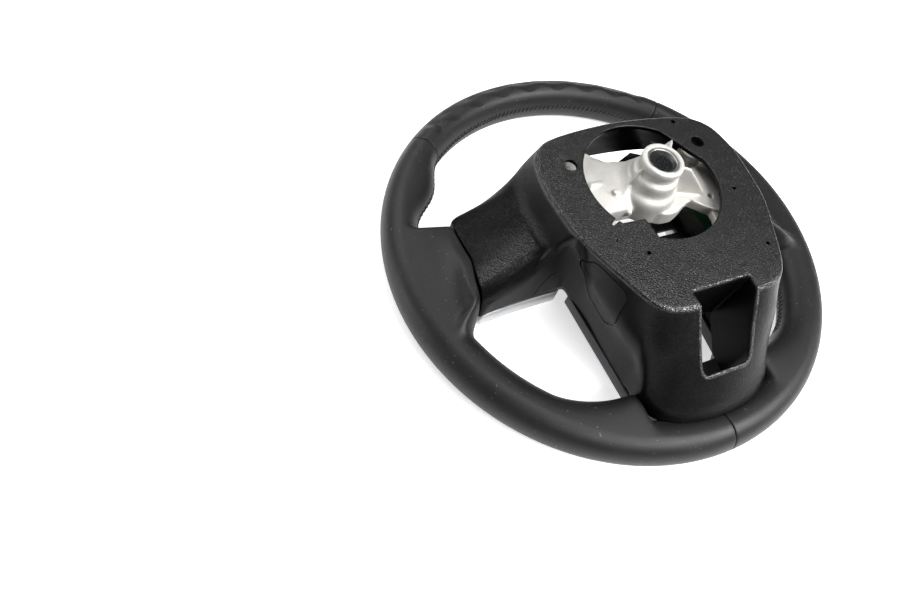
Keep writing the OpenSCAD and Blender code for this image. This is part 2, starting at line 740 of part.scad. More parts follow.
// Straight-sided outline inside the frame, drawn in by the frame's wall
module pad_outline(gap) {
    w = trim_wall + gap;
    polygon([[68 + w / 2, -28.7 + w], [106, -30 + w], [129.6 - w / 2, -32 + w], [133 - w, -17],
        [129.6 - w, -2], [129.4 - w, 38], [123 - w / 2, 46.6 - w], [99, 46 - w], [88, 32], [76.5, 7]]);
}

pad_low = trim_low + 3;
pad_high = 11.5;
rocker_at = [97, 3];
buttons_at = [[116.5, 17], [116.5, -9]];
module switch_pad_right() {
    color("#1d1d1f")
        difference() {
            translate([0, 0, pad_low])
                linear_extrude(pad_high - pad_low)
                    pad_outline(fit);
            for (p = buttons_at)
                translate([p[0], p[1], 0])
                    cylinder(d = button_d + 2 * key_gap, h = 20);
            translate([rocker_at[0] - rocker_w / 2 - key_gap, rocker_at[1] - rocker_l / 2 - key_gap, 0])
                cube([rocker_w + 2 * key_gap, rocker_l + 2 * key_gap, 20]);
        }
}

module switch_pad_left() {
    mirror([1, 0, 0])
        switch_pad_right();
}

// Push button: a disc with a dished face, guided by its hole in the pad
button_face_z = 2.6;
board_z = pad_high;
board_t = 1.6;
module push_button(p) {
    color("#3a3a3c")
        translate([p[0], p[1], button_face_z])
            difference() {
                cylinder(d = button_d, h = board_z - button_travel - 0.4 - button_face_z);
                translate([0, 0, -38.4])
                    sphere(r = 39, $fn = 96);
            }
}

module button_right_upper() {
    push_button(buttons_at[0]);
}

module button_right_lower() {
    push_button(buttons_at[1]);
}

module button_left_upper() {
    mirror([1, 0, 0])
        push_button(buttons_at[0]);
}

module button_left_lower() {
    mirror([1, 0, 0])
        push_button(buttons_at[1]);
}

// Two-way rocker, which tips about a line across its middle
module rocker_right() {
    color("#3a3a3c")
        translate([rocker_at[0] - rocker_w / 2, rocker_at[1], 0])
            rotate([90, 0, 90])
                linear_extrude(rocker_w)
                    polygon([[-rocker_l / 2 + 0.6, 3.2], [-6, 2.6], [-3, 3.4], [3, 3.4], [6, 2.6],
                        [rocker_l / 2 - 0.6, 3.2], [rocker_l / 2 - 0.1, 7], [rocker_l / 2 - 0.9, 8.6],
                        [4, 9.4], [-4, 9.4], [-rocker_l / 2 + 0.9, 8.6], [-rocker_l / 2 + 0.1, 7]]);
}

module rocker_left() {
    mirror([1, 0, 0])
        rocker_right();
}

// Circuit board that closes the back of the pad
module switch_board_right() {
    color("#1f5a3a")
        translate([0, 0, board_z])
            linear_extrude(board_t)
                polygon([[84, -22], [120.5, -24], [120.5, 38], [98, 38], [90, 24], [84, 8]]);
}

module switch_board_left() {
    mirror([1, 0, 0])
        switch_board_right();
}

// U-shaped strip frame along both sides and the foot of the lower spoke
strip_low = 0.3;
strip_foot = 14;
module lower_trim() {
    outer = [[55.5, -32], [53, -72], [51, -124], [48, -131], [41, -134]];
    inner = [[38, -134 + strip_foot], [46, -113], [53 - strip_w, -72], [55.5 - strip_w, -32]];
    half = concat(outer, [[0, -134], [0, -134 + strip_foot]], inner);
    color("#77787a")
        for (side = [0, 1])
            mirror([side, 0, 0])
                translate([0, 0, strip_low])
                    linear_extrude(strip_h)
                        polygon(half);
}

// Bushes that guide the airbag module's pins, pushed into the armature from the front
pin_places = [[-pin_x, pin_y], [pin_x, pin_y], [0, -pin_low_y]];
bush_low = plate_z - plate_t - 6;
module pin_bush(p) {
    color("#e6e3d8")
        translate([p[0], p[1], bush_low])
            difference() {
                union() {
                    cylinder(r = bush_r, h = 13);
                    cylinder(r = bush_r + 2, h = 2);
                }
                translate([0, 0, -1])
                    cylinder(r = pin_r, h = 20);
            }
}

module pin_bush_left() {
    pin_bush(pin_places[0]);
}

module pin_bush_right() {
    pin_bush(pin_places[1]);
}

module pin_bush_lower() {
    pin_bush(pin_places[2]);
}

// Hairpin of spring wire under the boss, spread just wide enough to let the pin pass
spring_z = bush_low - wire_d / 2;
module lock_spring(p, angle) {
    leg_x = pin_r + 0.1 + wire_d / 2;
    color("#b8babd")
        translate([p[0], p[1], spring_z])
            rotate([0, 0, angle]) {
                for (side = [-1, 1])
                    translate([side * leg_x, -14, 0])
                        rotate([-90, 0, 0])
                            cylinder(d = wire_d, h = 26, $fn = 32);
                translate([0, 12, 0])
                    rotate_extrude(angle = 180, $fn = 64)
                        translate([leg_x, 0])
                            circle(d = wire_d, $fn = 32);
            }
}

module lock_spring_left() {
    lock_spring(pin_places[0], -90);
}

module lock_spring_right() {
    lock_spring(pin_places[1], 90);
}

module lock_spring_lower() {
    lock_spring(pin_places[2], 0);
}

// Carrier plate behind the armature, hung from its centre plate on three posts
tray_z = 46;
tray_t = 3;
post_places = [[-30, 33], [37, -3], [-bar_x, -60.8], [bar_x, -60.8]];
module wiring_tray() {
    color("#151516")
        difference() {
            union() {
                translate([0, 0, tray_z])
                    linear_extrude(tray_t)
                        polygon([[-44, 38], [-30, 46], [8, 46], [22, 55], [40, 63], [52, 57], [46, 36],
                            [44, 13],
                            [50, 7], [62, -6], [62, -30], [48, -70], [-48, -70], [-62, -30], [-62, -6],
                            [-50, 7], [-44, 14]]);
                for (p = post_places)
                    translate([p[0], p[1], tray_z])
                        cylinder(r = 3.5, h = plate_z - plate_t - tray_z);
                // screen between the hub and the right pin
                translate([0, 0, tray_z])
                    rotate([0, 0, 20])
                        rotate_extrude(angle = 38)
                            translate([40.5, 0])
                                square([2, cover_z - cover_wall - 1.5 - tray_z]);
                // low ribs on the tray
                translate([16, 4, tray_z])
                    cube([24, 2, 10]);
                translate([-6, -60, tray_z])
                    cube([2, 34, 10]);
                translate([40, -40, tray_z])
                    cube([2, 34, 8]);
            }
            translate([0, 0, tray_z - 1])
                cylinder(r = 17, h = 20);
            translate([18, -23, tray_z - 1])
                cube([18, 5, 5]);
            // way for the lower pin
            translate([0, -pin_low_y, tray_z - 1])
                cylinder(r = bush_r + 3, h = 20);
        }
}

module cover_screws() {
    color("#9a9c9e")
        for (p = screw_places)
            translate([p[0], p[1], 0]) {
                translate([0, 0, plate_z - plate_t - 3])
                    cylinder(r = screw_head_r, h = 3);
                translate([0, 0, plate_z - plate_t - 1])
                    cylinder(r = screw_r, h = plate_t + 8);
            }
}

armature();
hub_sleeve();
rim_foam();
rim_leather_top();
rim_leather_left();
rim_leather_right();
rear_cover();
side_lid_left();
side_lid_right();
spoke_trim_left();
spoke_trim_right();
lower_trim();
switch_pad_left();
switch_pad_right();
rocker_left();
rocker_right();
button_left_upper();
button_left_lower();
button_right_upper();
button_right_lower();
switch_board_left();
switch_board_right();
pin_bush_left();
pin_bush_right();
pin_bush_lower();
lock_spring_left();
lock_spring_right();
lock_spring_lower();
wiring_tray();
cover_screws();
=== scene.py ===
import json
import math

import bmesh
import bpy
import numpy as np
from mathutils import Matrix, Vector
from mathutils.bvhtree import BVHTree


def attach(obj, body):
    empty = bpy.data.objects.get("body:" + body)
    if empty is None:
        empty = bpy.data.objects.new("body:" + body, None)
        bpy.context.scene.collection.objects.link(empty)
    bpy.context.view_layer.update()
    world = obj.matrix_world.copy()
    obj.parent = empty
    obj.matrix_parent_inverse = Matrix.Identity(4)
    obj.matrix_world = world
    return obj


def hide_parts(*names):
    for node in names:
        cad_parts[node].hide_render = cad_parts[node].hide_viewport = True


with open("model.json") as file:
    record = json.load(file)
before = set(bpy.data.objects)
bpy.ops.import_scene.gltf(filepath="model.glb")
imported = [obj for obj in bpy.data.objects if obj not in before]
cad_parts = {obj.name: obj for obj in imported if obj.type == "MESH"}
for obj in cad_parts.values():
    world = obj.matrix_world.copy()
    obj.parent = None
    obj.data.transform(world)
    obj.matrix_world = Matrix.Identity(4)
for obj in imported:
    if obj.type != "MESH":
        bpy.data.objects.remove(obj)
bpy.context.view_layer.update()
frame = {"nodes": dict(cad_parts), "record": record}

bl_info = {
    "name": "Steering wheel looks",
    "version": (1, 0, 0),
    "blender": (4, 5, 0),
    "location": "View3D > Sidebar > Steering wheel",
    "description": "Surfaces, finishes and studio for a leather-covered steering wheel seen from behind",
    "category": "Object",
}

# Sizes in millimetres, in the part's frame: Z = 0 is the rim's front, +Z points to the column
DEG = math.pi / 180
# Rim section: middle height, half height, radius of the crest, width from there to the outer edge
RIM_Z = 16.0
HALF_H = 16.0
CREST_R = 174.0
OUTER_W = 16.0
# Angles in degrees: the top panel's half width, the thumb rest, a side spoke's edges and the run in which
# its root fades out below, the web beside the lower spoke
SEAM_ANGLE = 42.7
THUMB_ANGLE = 146.5
SPOKE_HIGH = 162.6
SPOKE_LOW = 193.0
ROOT_FADE = 6.5
WEB_LOW = 224.0
WEB_END = 247.2
# Leather: how far the thumb rest and the web reach inwards, the seam's place on a side spoke, the radius
# of that spoke's lower edge, the finger grips, the room for the lower spoke, the thread
THUMB_REACH = 9.0
WEB_REACH = 14.5
SPOKE_END_X = 131.0
SPOKE_EDGE_R = 13.0
GRIP_COUNT = 9
ROOM_R = 157.6
ROOM_Z = 6.0
THREAD_R = 0.42
# Rear cover: plateau, foot, wall, rolled edges of the window, the slot and the small openings
COVER_Z = 93.0
FOOT_Z = 15.2
COVER_WALL = 2.8
WINDOW_LIP = 0.9
SLOT_LIP = 2.2
FINE_LIP = 0.3
HUB_Z = 109.5


# Number helpers

def smooth(t):
    """Smooth step from 0 to 1."""
    u = np.clip(t, 0, 1)
    return u * u * (3 - 2 * u)


def bump(x, centre, half):
    """Squared cosine hill of a given half width."""
    return np.where(np.abs(x - centre) >= half, 0.0, np.cos(np.pi / 2 * (x - centre) / half) ** 2)


def lerp(a, b, t):
    """Straight blend of a and b."""
    return a + (b - a) * t


def unit(v):
    """Vectors of an array divided by their lengths."""
    return v / np.maximum(np.linalg.norm(v, axis=-1, keepdims=True), 1e-9)


def catmull_rom(points, m):
    """Catmull-Rom curve through points, m steps between neighbours, mirrored in X past both ends."""
    p = np.asarray(points, float)
    flip = np.array([-1.0] + [1.0] * (p.shape[1] - 1))
    q = np.vstack([p[1] * flip, p, p[-2] * flip])
    t = (np.arange(m) / m)[None, :, None]
    a, b, c, d = (q[i:len(q) - 3 + i, None, :] for i in range(4))
    bent = (2 * a - 5 * b + 4 * c - d) * t ** 2 + (3 * b - a - 3 * c + d) * t ** 3
    out = 0.5 * (2 * b + (c - a) * t + bent)
    return np.vstack([out.reshape(-1, p.shape[1]), p[-1:]])


def quadratic(a, b, c, t):
    """Point of the curve (1-t)^2 A + 2t(1-t) B + t^2 C."""
    return (1 - t) ** 2 * a + 2 * t * (1 - t) * b + t ** 2 * c


def closed_mirror(half):
    """A half outline from twelve to six o'clock, closed by its mirror image."""
    flip = np.array([-1.0] + [1.0] * (half.shape[1] - 1))
    return np.vstack([half, half[-2:0:-1] * flip])


def grid_quads(rows, cols, close_rows=False, close_cols=False):
    """Corner numbers of the quads of a grid whose points run along the columns first."""
    r = np.arange(rows if close_rows else rows - 1)
    c = np.arange(cols if close_cols else cols - 1)
    i, j = np.meshgrid(r, c, indexing="ij")
    k = (i + 1) % rows
    m = (j + 1) % cols
    return np.stack([i * cols + j, i * cols + m, k * cols + m, k * cols + j], -1).reshape(-1, 4)


def outline_distance(points, outline):
    """Signed distance to a closed outline in a plane, negative inside, and the nearest outline points."""
    a = outline
    b = np.roll(outline, -1, axis=0)
    ab = b - a
    ap = points[:, None, :] - a[None]
    t = np.clip((ap * ab).sum(-1) / np.maximum((ab * ab).sum(-1), 1e-12), 0, 1)
    near = a[None] + t[..., None] * ab[None]
    gap = np.linalg.norm(points[:, None, :] - near, axis=-1)
    k = gap.argmin(1)
    rows = np.arange(len(points))
    y = points[:, 1:2]
    crosses = (a[None, :, 1] > y) != (b[None, :, 1] > y)
    with np.errstate(divide="ignore", invalid="ignore"):
        x_at = a[None, :, 0] + (y - a[None, :, 1]) * ab[None, :, 0] / ab[None, :, 1]
    inside = (crosses & (points[:, 0:1] < x_at)).sum(1) % 2 == 1
    d = gap[rows, k]
    return np.where(inside, -d, d), near[rows, k]


def round_outline(corners, steps):
    """Closed outline with each corner (x, y, radius) replaced by an arc-like quadratic curve."""
    p = np.asarray(corners, float)
    out = []
    for i in range(len(p)):
        a, b, c = p[i - 1][:2], p[i][:2], p[(i + 1) % len(p)][:2]
        u, v = unit(a - b), unit(c - b)
        half = math.acos(float(np.clip(-(u @ v), -1, 1))) / 2
        cut = min(p[i][2] * math.tan(half), 0.48 * np.linalg.norm(a - b), 0.48 * np.linalg.norm(c - b))
        t = np.linspace(0, 1, steps)[:, None]
        s, e = b + u * cut, b + v * cut
        out.append(quadratic(s, b, e, t))
    return np.vstack(out)


def circle_outline(x, y, r, n=40):
    """Points of a circle."""
    t = np.arange(n) * 2 * np.pi / n
    return np.stack([x + r * np.cos(t), y + r * np.sin(t)], -1)


def hull_of_circles(circles, n=48):
    """Outline round a set of circles (x, y, radius), counter-clockwise."""
    pts = np.vstack([circle_outline(x, y, r, n) for x, y, r in circles])
    pts = pts[np.lexsort((pts[:, 1], pts[:, 0]))]

    def chain(seq):
        out = []
        for p in seq:
            while len(out) > 1 and np.cross(out[-1] - out[-2], p - out[-1]) <= 0:
                out.pop()
            out.append(p)
        return out[:-1]
    return np.array(chain(pts) + chain(pts[::-1]))


def even_outline(outline, n):
    """The same closed outline with n evenly spaced points."""
    p = np.vstack([outline, outline[:1]])
    s = np.concatenate([[0], np.cumsum(np.linalg.norm(np.diff(p, axis=0), axis=1))])
    t = np.arange(n) / n * s[-1]
    return np.stack([np.interp(t, s, p[:, k]) for k in range(p.shape[1])], -1)


def outward(outline):
    """Unit normals that point out of a closed outline, whichever way it runs."""
    d = np.roll(outline, -1, 0) - np.roll(outline, 1, 0)
    x, y = outline.T
    area = np.sum(x * np.roll(y, -1) - np.roll(x, -1) * y)
    return unit(np.stack([d[:, 1], -d[:, 0]], -1)) * np.sign(area)


# Mesh helpers

def new_object(name, data):
    """A new object of the scene that holds the given data."""
    obj = bpy.data.objects.new(name, data)
    bpy.context.scene.collection.objects.link(obj)
    return obj


def put_mesh(name, points, quads, polygons=(), values=None):
    """A smooth-shaded mesh object from points in mm, quads and a few larger polygons."""
    mesh = bpy.data.meshes.new(name)
    loops = np.concatenate([np.ravel(quads), *polygons]).astype(np.int32)
    sizes = [4] * len(quads) + [len(p) for p in polygons]
    starts = np.concatenate([[0], np.cumsum(sizes)[:-1]]).astype(np.int32)
    mesh.vertices.add(len(points))
    mesh.vertices.foreach_set("co", (np.asarray(points) / 1000).astype(np.float32).ravel())
    mesh.loops.add(len(loops))
    mesh.loops.foreach_set("vertex_index", loops)
    mesh.polygons.add(len(starts))
    mesh.polygons.foreach_set("loop_start", starts)
    mesh.update(calc_edges=True)
    mesh.validate()
    for key, data in (values or {}).items():
        layer = mesh.attributes.new(key, "FLOAT", "POINT")
        layer.data.foreach_set("value", np.asarray(data, np.float32).ravel())
    mesh.shade_smooth()
    return new_object(name, mesh)


def shed_loose(points, faces, values=None):
    """Points, faces and values without the points that no face uses."""
    used = np.unique(np.concatenate([f.ravel() for f in faces]))
    index = np.full(len(points), -1)
    index[used] = np.arange(len(used))
    kept = {k: np.asarray(v).ravel()[used] for k, v in (values or {}).items()}
    return points[used], [index[f] for f in faces], kept


def tubes(paths):
    """Points and quads of six-sided sewing threads along paths, an array (count, steps, 3), tapered at
    both ends."""
    n, m = paths.shape[:2]
    sides = 6
    run = unit(np.gradient(paths, axis=1))
    side = unit(np.cross(run, [0.31, 0.17, 0.93]))
    up = np.cross(side, run)
    t = np.linspace(0, 1, m)
    r = THREAD_R * np.sqrt(np.clip(1 - (2 * t - 1) ** 6, 0.02, 1))
    w = (np.arange(sides) * 2 * np.pi / sides)[:, None]
    ring = np.cos(w) * side[:, :, None] + np.sin(w) * up[:, :, None]
    pts = paths[:, :, None] + ring * r[:, None, None]
    quads = grid_quads(m, sides, close_cols=True)
    quads = (quads[None] + (np.arange(n) * m * sides)[:, None, None]).reshape(-1, 4)
    return pts.reshape(-1, 3), quads


def ray_tree(rows):
    """A search tree of the surface through closed rows of points."""
    quads = grid_quads(*rows.shape[:2], close_cols=True)
    return BVHTree.FromPolygons([Vector(v) for v in rows.reshape(-1, 3)], quads.tolist())


def cad_copy(name, node):
    """A copy of a CAD node's mesh with its points merged and its flat faces joined."""
    mesh = frame["nodes"][node].data.copy()
    bm = bmesh.new()
    bm.from_mesh(mesh)
    bmesh.ops.remove_doubles(bm, verts=bm.verts, dist=1e-5)
    bmesh.ops.dissolve_limit(bm, angle_limit=1.5 * DEG, verts=bm.verts, edges=bm.edges)
    bm.to_mesh(mesh)
    bm.free()
    mesh.materials.clear()
    return new_object(name, mesh)


def wear(obj, material, body="wheel", nodes=()):
    """Gives a finished piece its material and body, and hides the CAD nodes that it stands for."""
    obj.data.materials.append(material)
    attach(obj, body)
    if nodes:
        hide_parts(*nodes)
    return obj


# Materials

def srgb(code):
    """Linear colour of an sRGB hex code."""
    c = np.array([int(code[i:i + 2], 16) for i in (1, 3, 5)]) / 255
    c = np.where(c <= 0.04045, c / 12.92, ((c + 0.055) / 1.055) ** 2.4)
    return (*c, 1.0)


class Finish:
    """A node material under construction. Patterns read the Object coordinates, in metres, so the scale
    of a pattern is 1000 divided by its size in mm."""

    def __init__(self, name):
        self.material = bpy.data.materials.new(name)
        self.material.use_nodes = True
        self.tree = self.material.node_tree
        self.tree.nodes.clear()
        self.where = self.add("TexCoord", (), "Object")
        # what the noise patterns share
        self.noise = {"Vector": self.where, "Roughness": 0.55}

    def add(self, kind, inputs, out=0, **settings):
        """Adds a node with its settings, and sets its inputs, listed or by name, to numbers, colours or
        linked outputs. Gives back the node's output of the given number or name."""
        node = self.tree.nodes.new("ShaderNode" + kind)
        for key, value in settings.items():
            setattr(node, key, value)
        for key, value in inputs.items() if isinstance(inputs, dict) else enumerate(inputs):
            if isinstance(value, bpy.types.NodeSocket):
                self.tree.links.new(value, node.inputs[key])
            else:
                node.inputs[key].default_value = srgb(value) if isinstance(value, str) else value
        return node.outputs[out] if node.outputs else None

    def done(self, inputs):
        """Adds the shader with its inputs and gives back the material."""
        self.add("OutputMaterial", {"Surface": self.add("BsdfPrincipled", inputs)})
        return self.material


def mottle(f, size, detail, dark, light):
    """Colour that drifts between two tones, in patches of about size mm."""
    cloud = f.add("TexNoise", {**f.noise, "Scale": 1000 / size, "Detail": detail})
    return f.add("Mix", {0: cloud, 6: dark, 7: light}, 2, data_type="RGBA")


def uneven(f, size, detail, low, gain):
    """Roughness that drifts up from low by at most gain, in patches of about size mm."""
    cloud = f.add("TexNoise", {**f.noise, "Scale": 1000 / size, "Detail": detail})
    return f.add("Math", (cloud, gain, low), operation="MULTIPLY_ADD")


def skin_cells(f, size, gain):
    """Height that rises by gain from the walls of cells about size mm wide, whose places are disturbed by
    a third of that."""
    warp = f.add("TexNoise", {"Vector": f.where, "Scale": 1000 / (size * 1.7), "Detail": 1.0}, "Color")
    shift = f.add("VectorMath", {0: warp, "Scale": 0.35 * size / 1000}, operation="SCALE")
    moved = f.add("VectorMath", (f.where, shift), operation="ADD")
    wall = f.add("TexVoronoi", {"Vector": moved, "Scale": 1000 / size}, "Distance",
                 feature="DISTANCE_TO_EDGE")
    return f.add("Math", (wall, gain), operation="MULTIPLY", use_clamp=True)


def leather_finish(dark, light, pore):
    """Smooth black rim leather: fine pores, faint mottling, a groove along the sewn inner edge, and a
    little dust."""
    f = Finish("smooth_black_rim_leather")
    soft = f.add("TexNoise", {**f.noise, "Scale": 1000 / 22, "Detail": 3})
    seam = f.add("Attribute", (), "Fac", attribute_name="seam_mm")
    seam = f.add("Math", (seam,), operation="ABSOLUTE")
    groove = f.add("Math", (seam, 1.1), operation="DIVIDE", use_clamp=True)
    bumps = f.add("Bump", {"Height": skin_cells(f, pore, 1.8), "Strength": 0.5, "Distance": 0.14e-3})
    bumps = f.add("Bump", {"Height": soft, "Strength": 0.25, "Distance": 0.6e-3, "Normal": bumps})
    bumps = f.add("Bump", {"Height": groove, "Strength": 0.9, "Distance": 0.8e-3, "Normal": bumps})
    specks = f.add("TexNoise", {**f.noise, "Scale": 1000 / 1.9, "Detail": 1, "Roughness": 0.3})
    dust = f.add("Math", (specks, 0.765), operation="GREATER_THAN")
    dust = f.add("Math", (dust, 0.5), operation="MULTIPLY")
    tone = f.add("Mix", {0: soft, 6: dark, 7: light}, 2, data_type="RGBA")
    tone = f.add("Mix", {0: dust, 6: tone, 7: "#5e5d5a"}, 2, data_type="RGBA")
    rough = f.add("Math", (soft, 0.16, 0.38), operation="MULTIPLY_ADD")
    return f.done({"Base Color": tone, "Roughness": rough, "Specular IOR Level": 0.27, "Normal": bumps})


def thread_finish():
    """Black sewing thread with its twist."""
    f = Finish("black_sewing_thread")
    twist = f.add("TexNoise", {**f.noise, "Scale": 1000 / 0.5, "Detail": 2})
    return f.done({"Base Color": mottle(f, 1.2, 3, "#101011", "#1d1d1e"), "Roughness": 0.62,
                   "Normal": f.add("Bump", {"Height": twist, "Strength": 0.6, "Distance": 0.15e-3})})


def grained_finish(dark, light, grain_size):
    """Moulded black plastic with leather grain on the back faces, smoother and duller on the
    walls, where the grain attribute is small; there its colour is darker too, as painted shade."""
    f = Finish("grained_cover_plastic_with_painted_shade")
    grain = f.add("Attribute", (), "Fac", attribute_name="grain")
    small = f.add("TexNoise", {**f.noise, "Scale": 1000 / 0.55, "Detail": 3})
    small = f.add("Math", (small, 0.2), operation="MULTIPLY")
    height = f.add("Math", (skin_cells(f, grain_size, 1.9), 0.8, small), operation="MULTIPLY_ADD")
    strength = f.add("Math", (grain, 0.8, 0.12), operation="MULTIPLY_ADD")
    # painted shade: the darker tone that the grain attribute blends in on the walls, which turn away from the
    # top
    wall = mottle(f, 24, 2, "#040405", "#060607")
    back = mottle(f, 24, 2, dark, light)
    shine = f.add("Math", (grain, 3.0), operation="POWER")
    sheen = f.add("Math", (shine, 0.36, 0.08), operation="MULTIPLY_ADD")
    return f.done({"Base Color": f.add("Mix", {0: grain, 6: wall, 7: back}, 2, data_type="RGBA"),
                   "Roughness": uneven(f, 3, 2, 0.26, 0.08), "Specular IOR Level": sheen,
                   "Normal": f.add("Bump", {"Height": height, "Strength": strength, "Distance": 0.35e-3})})


def plain_plastic(name, dark, light, rough, size=1.0, depth=0.05, sheen=0.3):
    """Moulded plastic with a fine erosion texture, depth mm deep, and slightly uneven tone."""
    f = Finish(name)
    skin = f.add("TexNoise", {**f.noise, "Scale": 1000 / (size * 0.5), "Detail": 3})
    return f.done({"Base Color": mottle(f, size * 18, 2, dark, light), "Specular IOR Level": sheen,
                   "Roughness": uneven(f, size * 6, 2, rough - 0.06, 0.12),
                   "Normal": f.add("Bump", {"Height": skin, "Strength": 0.5, "Distance": depth / 1000})})


def silver_finish(dark, light):
    """Bright silver paint on plastic: fine metal flake under a clear coat."""
    f = Finish("bright_silver_paint")
    return f.done({"Base Color": mottle(f, 0.35, 2, dark, light), "Metallic": 0.3, "Coat Weight": 0.2,
                   "Roughness": uneven(f, 9, 2, 0.32, 0.06)})


def cast_finish():
    """Blasted die-cast aluminium, pale grey and matte, with a slightly pitted skin and bright specks."""
    f = Finish("blasted_cast_aluminium")
    cloud = f.add("TexNoise", {**f.noise, "Scale": 1000 / 16, "Detail": 3})
    pits = f.add("TexNoise", {**f.noise, "Scale": 1000 / 0.8, "Detail": 4, "Roughness": 0.7})
    bumps = f.add("Bump", {"Height": pits, "Strength": 0.55, "Distance": 0.14e-3})
    bumps = f.add("Bump", {"Height": cloud, "Strength": 0.25, "Distance": 0.5e-3, "Normal": bumps})
    specks = f.add("TexNoise", {**f.noise, "Scale": 1000 / 1.6, "Detail": 3})
    specks = f.add("Math", (specks, 0.35), operation="MULTIPLY")
    tone = f.add("Mix", {0: cloud, 6: "#9f9d98", 7: "#bcbab5"}, 2, data_type="RGBA")
    tone = f.add("Mix", {0: specks, 6: tone, 7: "#dddbd6"}, 2, data_type="RGBA")
    rough = f.add("Math", (pits, 0.2, 0.42), operation="MULTIPLY_ADD")
    return f.done({"Base Color": tone, "Metallic": 0.35, "Roughness": rough, "Normal": bumps})


def steel_finish(name, dark, light, rough):
    """Turned or drawn steel with fine tool marks."""
    f = Finish(name)
    marks = f.add("TexWave", {"Vector": f.where, "Scale": 900.0, "Distortion": 1.5}, "Fac",
                  wave_type="BANDS", bands_direction="Z")
    return f.done({"Base Color": mottle(f, 5, 3, dark, light), "Metallic": 1.0,
                   "Roughness": uneven(f, 2, 3, rough - 0.07, 0.15),
                   "Normal": f.add("Bump", {"Height": marks, "Strength": 0.4, "Distance": 0.02e-3})})


FINISHES = {}


def finish_of(key):
    """The material of one record slot, made once."""
    choices = bpy.context.scene.wheel_settings
    pore, grain = choices.pore_size * 1000, choices.grain_size * 1000
    plastic = plain_plastic
    makers = {
        "leather": lambda: leather_finish(choices.leather_dark, choices.leather_light, pore),
        "thread": thread_finish,
        "cover_plastic": lambda: grained_finish(choices.cover_dark, choices.cover_light, grain),
        "cast_aluminium": cast_finish,
        "steel": lambda: steel_finish("machined_steel", "#8d8e8f", "#b9babb", 0.3),
        "spring_wire": lambda: steel_finish("drawn_spring_wire", "#9a9b9d", "#c2c3c5", 0.28),
        "silver_trim": lambda: silver_finish(choices.silver_dark, choices.silver_light),
        "foam": lambda: plastic("grey_moulded_foam", "#6b675f", "#8a857b", 0.8, 2.5, 0.4),
        "cover_smooth": lambda: plastic("fine_matte_black_plastic", "#060607", "#0a0a0b", 0.4, sheen=0.1),
        "satin_grey": lambda: plastic("satin_grey_plastic", "#3a3b3d", "#4a4b4e", 0.36),
        "switch_plastic": lambda: plastic("black_switch_panel_plastic", "#101011", "#171718", 0.45),
        "key_plastic": lambda: plastic("soft_touch_key_plastic", "#1b1b1c", "#242426", 0.5),
        "board": lambda: plastic("green_board_resist", "#123a25", "#1a4d31", 0.35, 1.6, 0.02),
        "bush_plastic": lambda: plastic("natural_bush_plastic", "#d3d0c3", "#e4e1d5", 0.4),
        "tray_plastic": lambda: plastic("black_carrier_plastic", "#0a0a0b", "#121213", 0.5),
    }
    if key not in FINISHES:
        FINISHES[key] = makers[key]()
    return FINISHES[key]


# Leather rim surface

def seam_x(y):
    """X of the seam between a side spoke's leather and the cover."""
    return SPOKE_END_X + 6 * smooth((8 - y) / 32)


def in_root(a):
    """How far the section at an angle belongs to the side spoke's root."""
    return smooth((a - SPOKE_HIGH) / 3.2) * (1 - smooth((a - SPOKE_LOW) / ROOT_FADE))


def in_flat(a):
    """How boxy the section is across the root."""
    return smooth((a - SPOKE_HIGH - 0.4) / 3) * (1 - smooth((a - SPOKE_LOW + 1.5) / 6))


def in_web(a, end=WEB_END, fade=3.4):
    """How far the section belongs to the web beside the lower spoke, which fades out past an angle."""
    return np.clip((a - WEB_LOW) / 22, 0, 1) ** 1.5 * (1 - smooth((a - end) / fade))


def swirl(a, x):
    """Turn of inner points near the spoke's upper edge, in degrees."""
    return -0.12 * np.maximum(0, -x - 10) * (1 - smooth((a - 163) / 12)) * smooth((a - 156) / 6)


def inner_reach(a):
    """Widths from the crest to the inner edge: without the root, and up to the seam."""
    end = smooth((a - WEB_END) / 3.4)
    plain = lerp(12, 19, smooth((a - 150) / 55)) * (1 - end) + OUTER_W * end
    w = plain + THUMB_REACH * bump(a, THUMB_ANGLE, 14) + WEB_REACH * in_web(a)
    b = a + swirl(a, -38.0)
    seam = seam_x(SPOKE_END_X * 1.03 * np.sin(b * DEG))
    root = CREST_R - seam / np.maximum(np.abs(np.cos(b * DEG)), 0.5)
    return w, root


def inner_w(a):
    """Width from the crest to the inner edge."""
    w, root = inner_reach(a)
    return lerp(w, root, in_root(a))


def edge_drop(a, u):
    """Fall of the root's back towards its lower edge: a circle's, R - sqrt(R^2 - (R - d)^2), at the
    distance d from the edge, for the depth u inside the crest."""
    w, root = inner_reach(a)
    share = np.clip((root - u) / np.maximum(root - w, 1), 0, 1)
    # the smooth step's inverse gives the angle at which the root still reaches this deep
    edge_a = SPOKE_LOW + ROOT_FADE * (0.5 - np.sin(np.arcsin(1 - 2 * share) / 3))
    d = (edge_a - a) * DEG * (CREST_R - u)
    radius = SPOKE_EDGE_R * np.clip((u - w - 1) / 14, 0.01, 1)
    q = np.clip(1 - d / radius, 0, 1)
    return radius * (1 - np.sqrt(1 - q * q))


def inner_h(a):
    """Height of the section's back at its inner side, which the root raises by up to 8.5 mm."""
    return HALF_H + in_root(a) * lerp(-1, 8.5, smooth((a - 163) / 26))


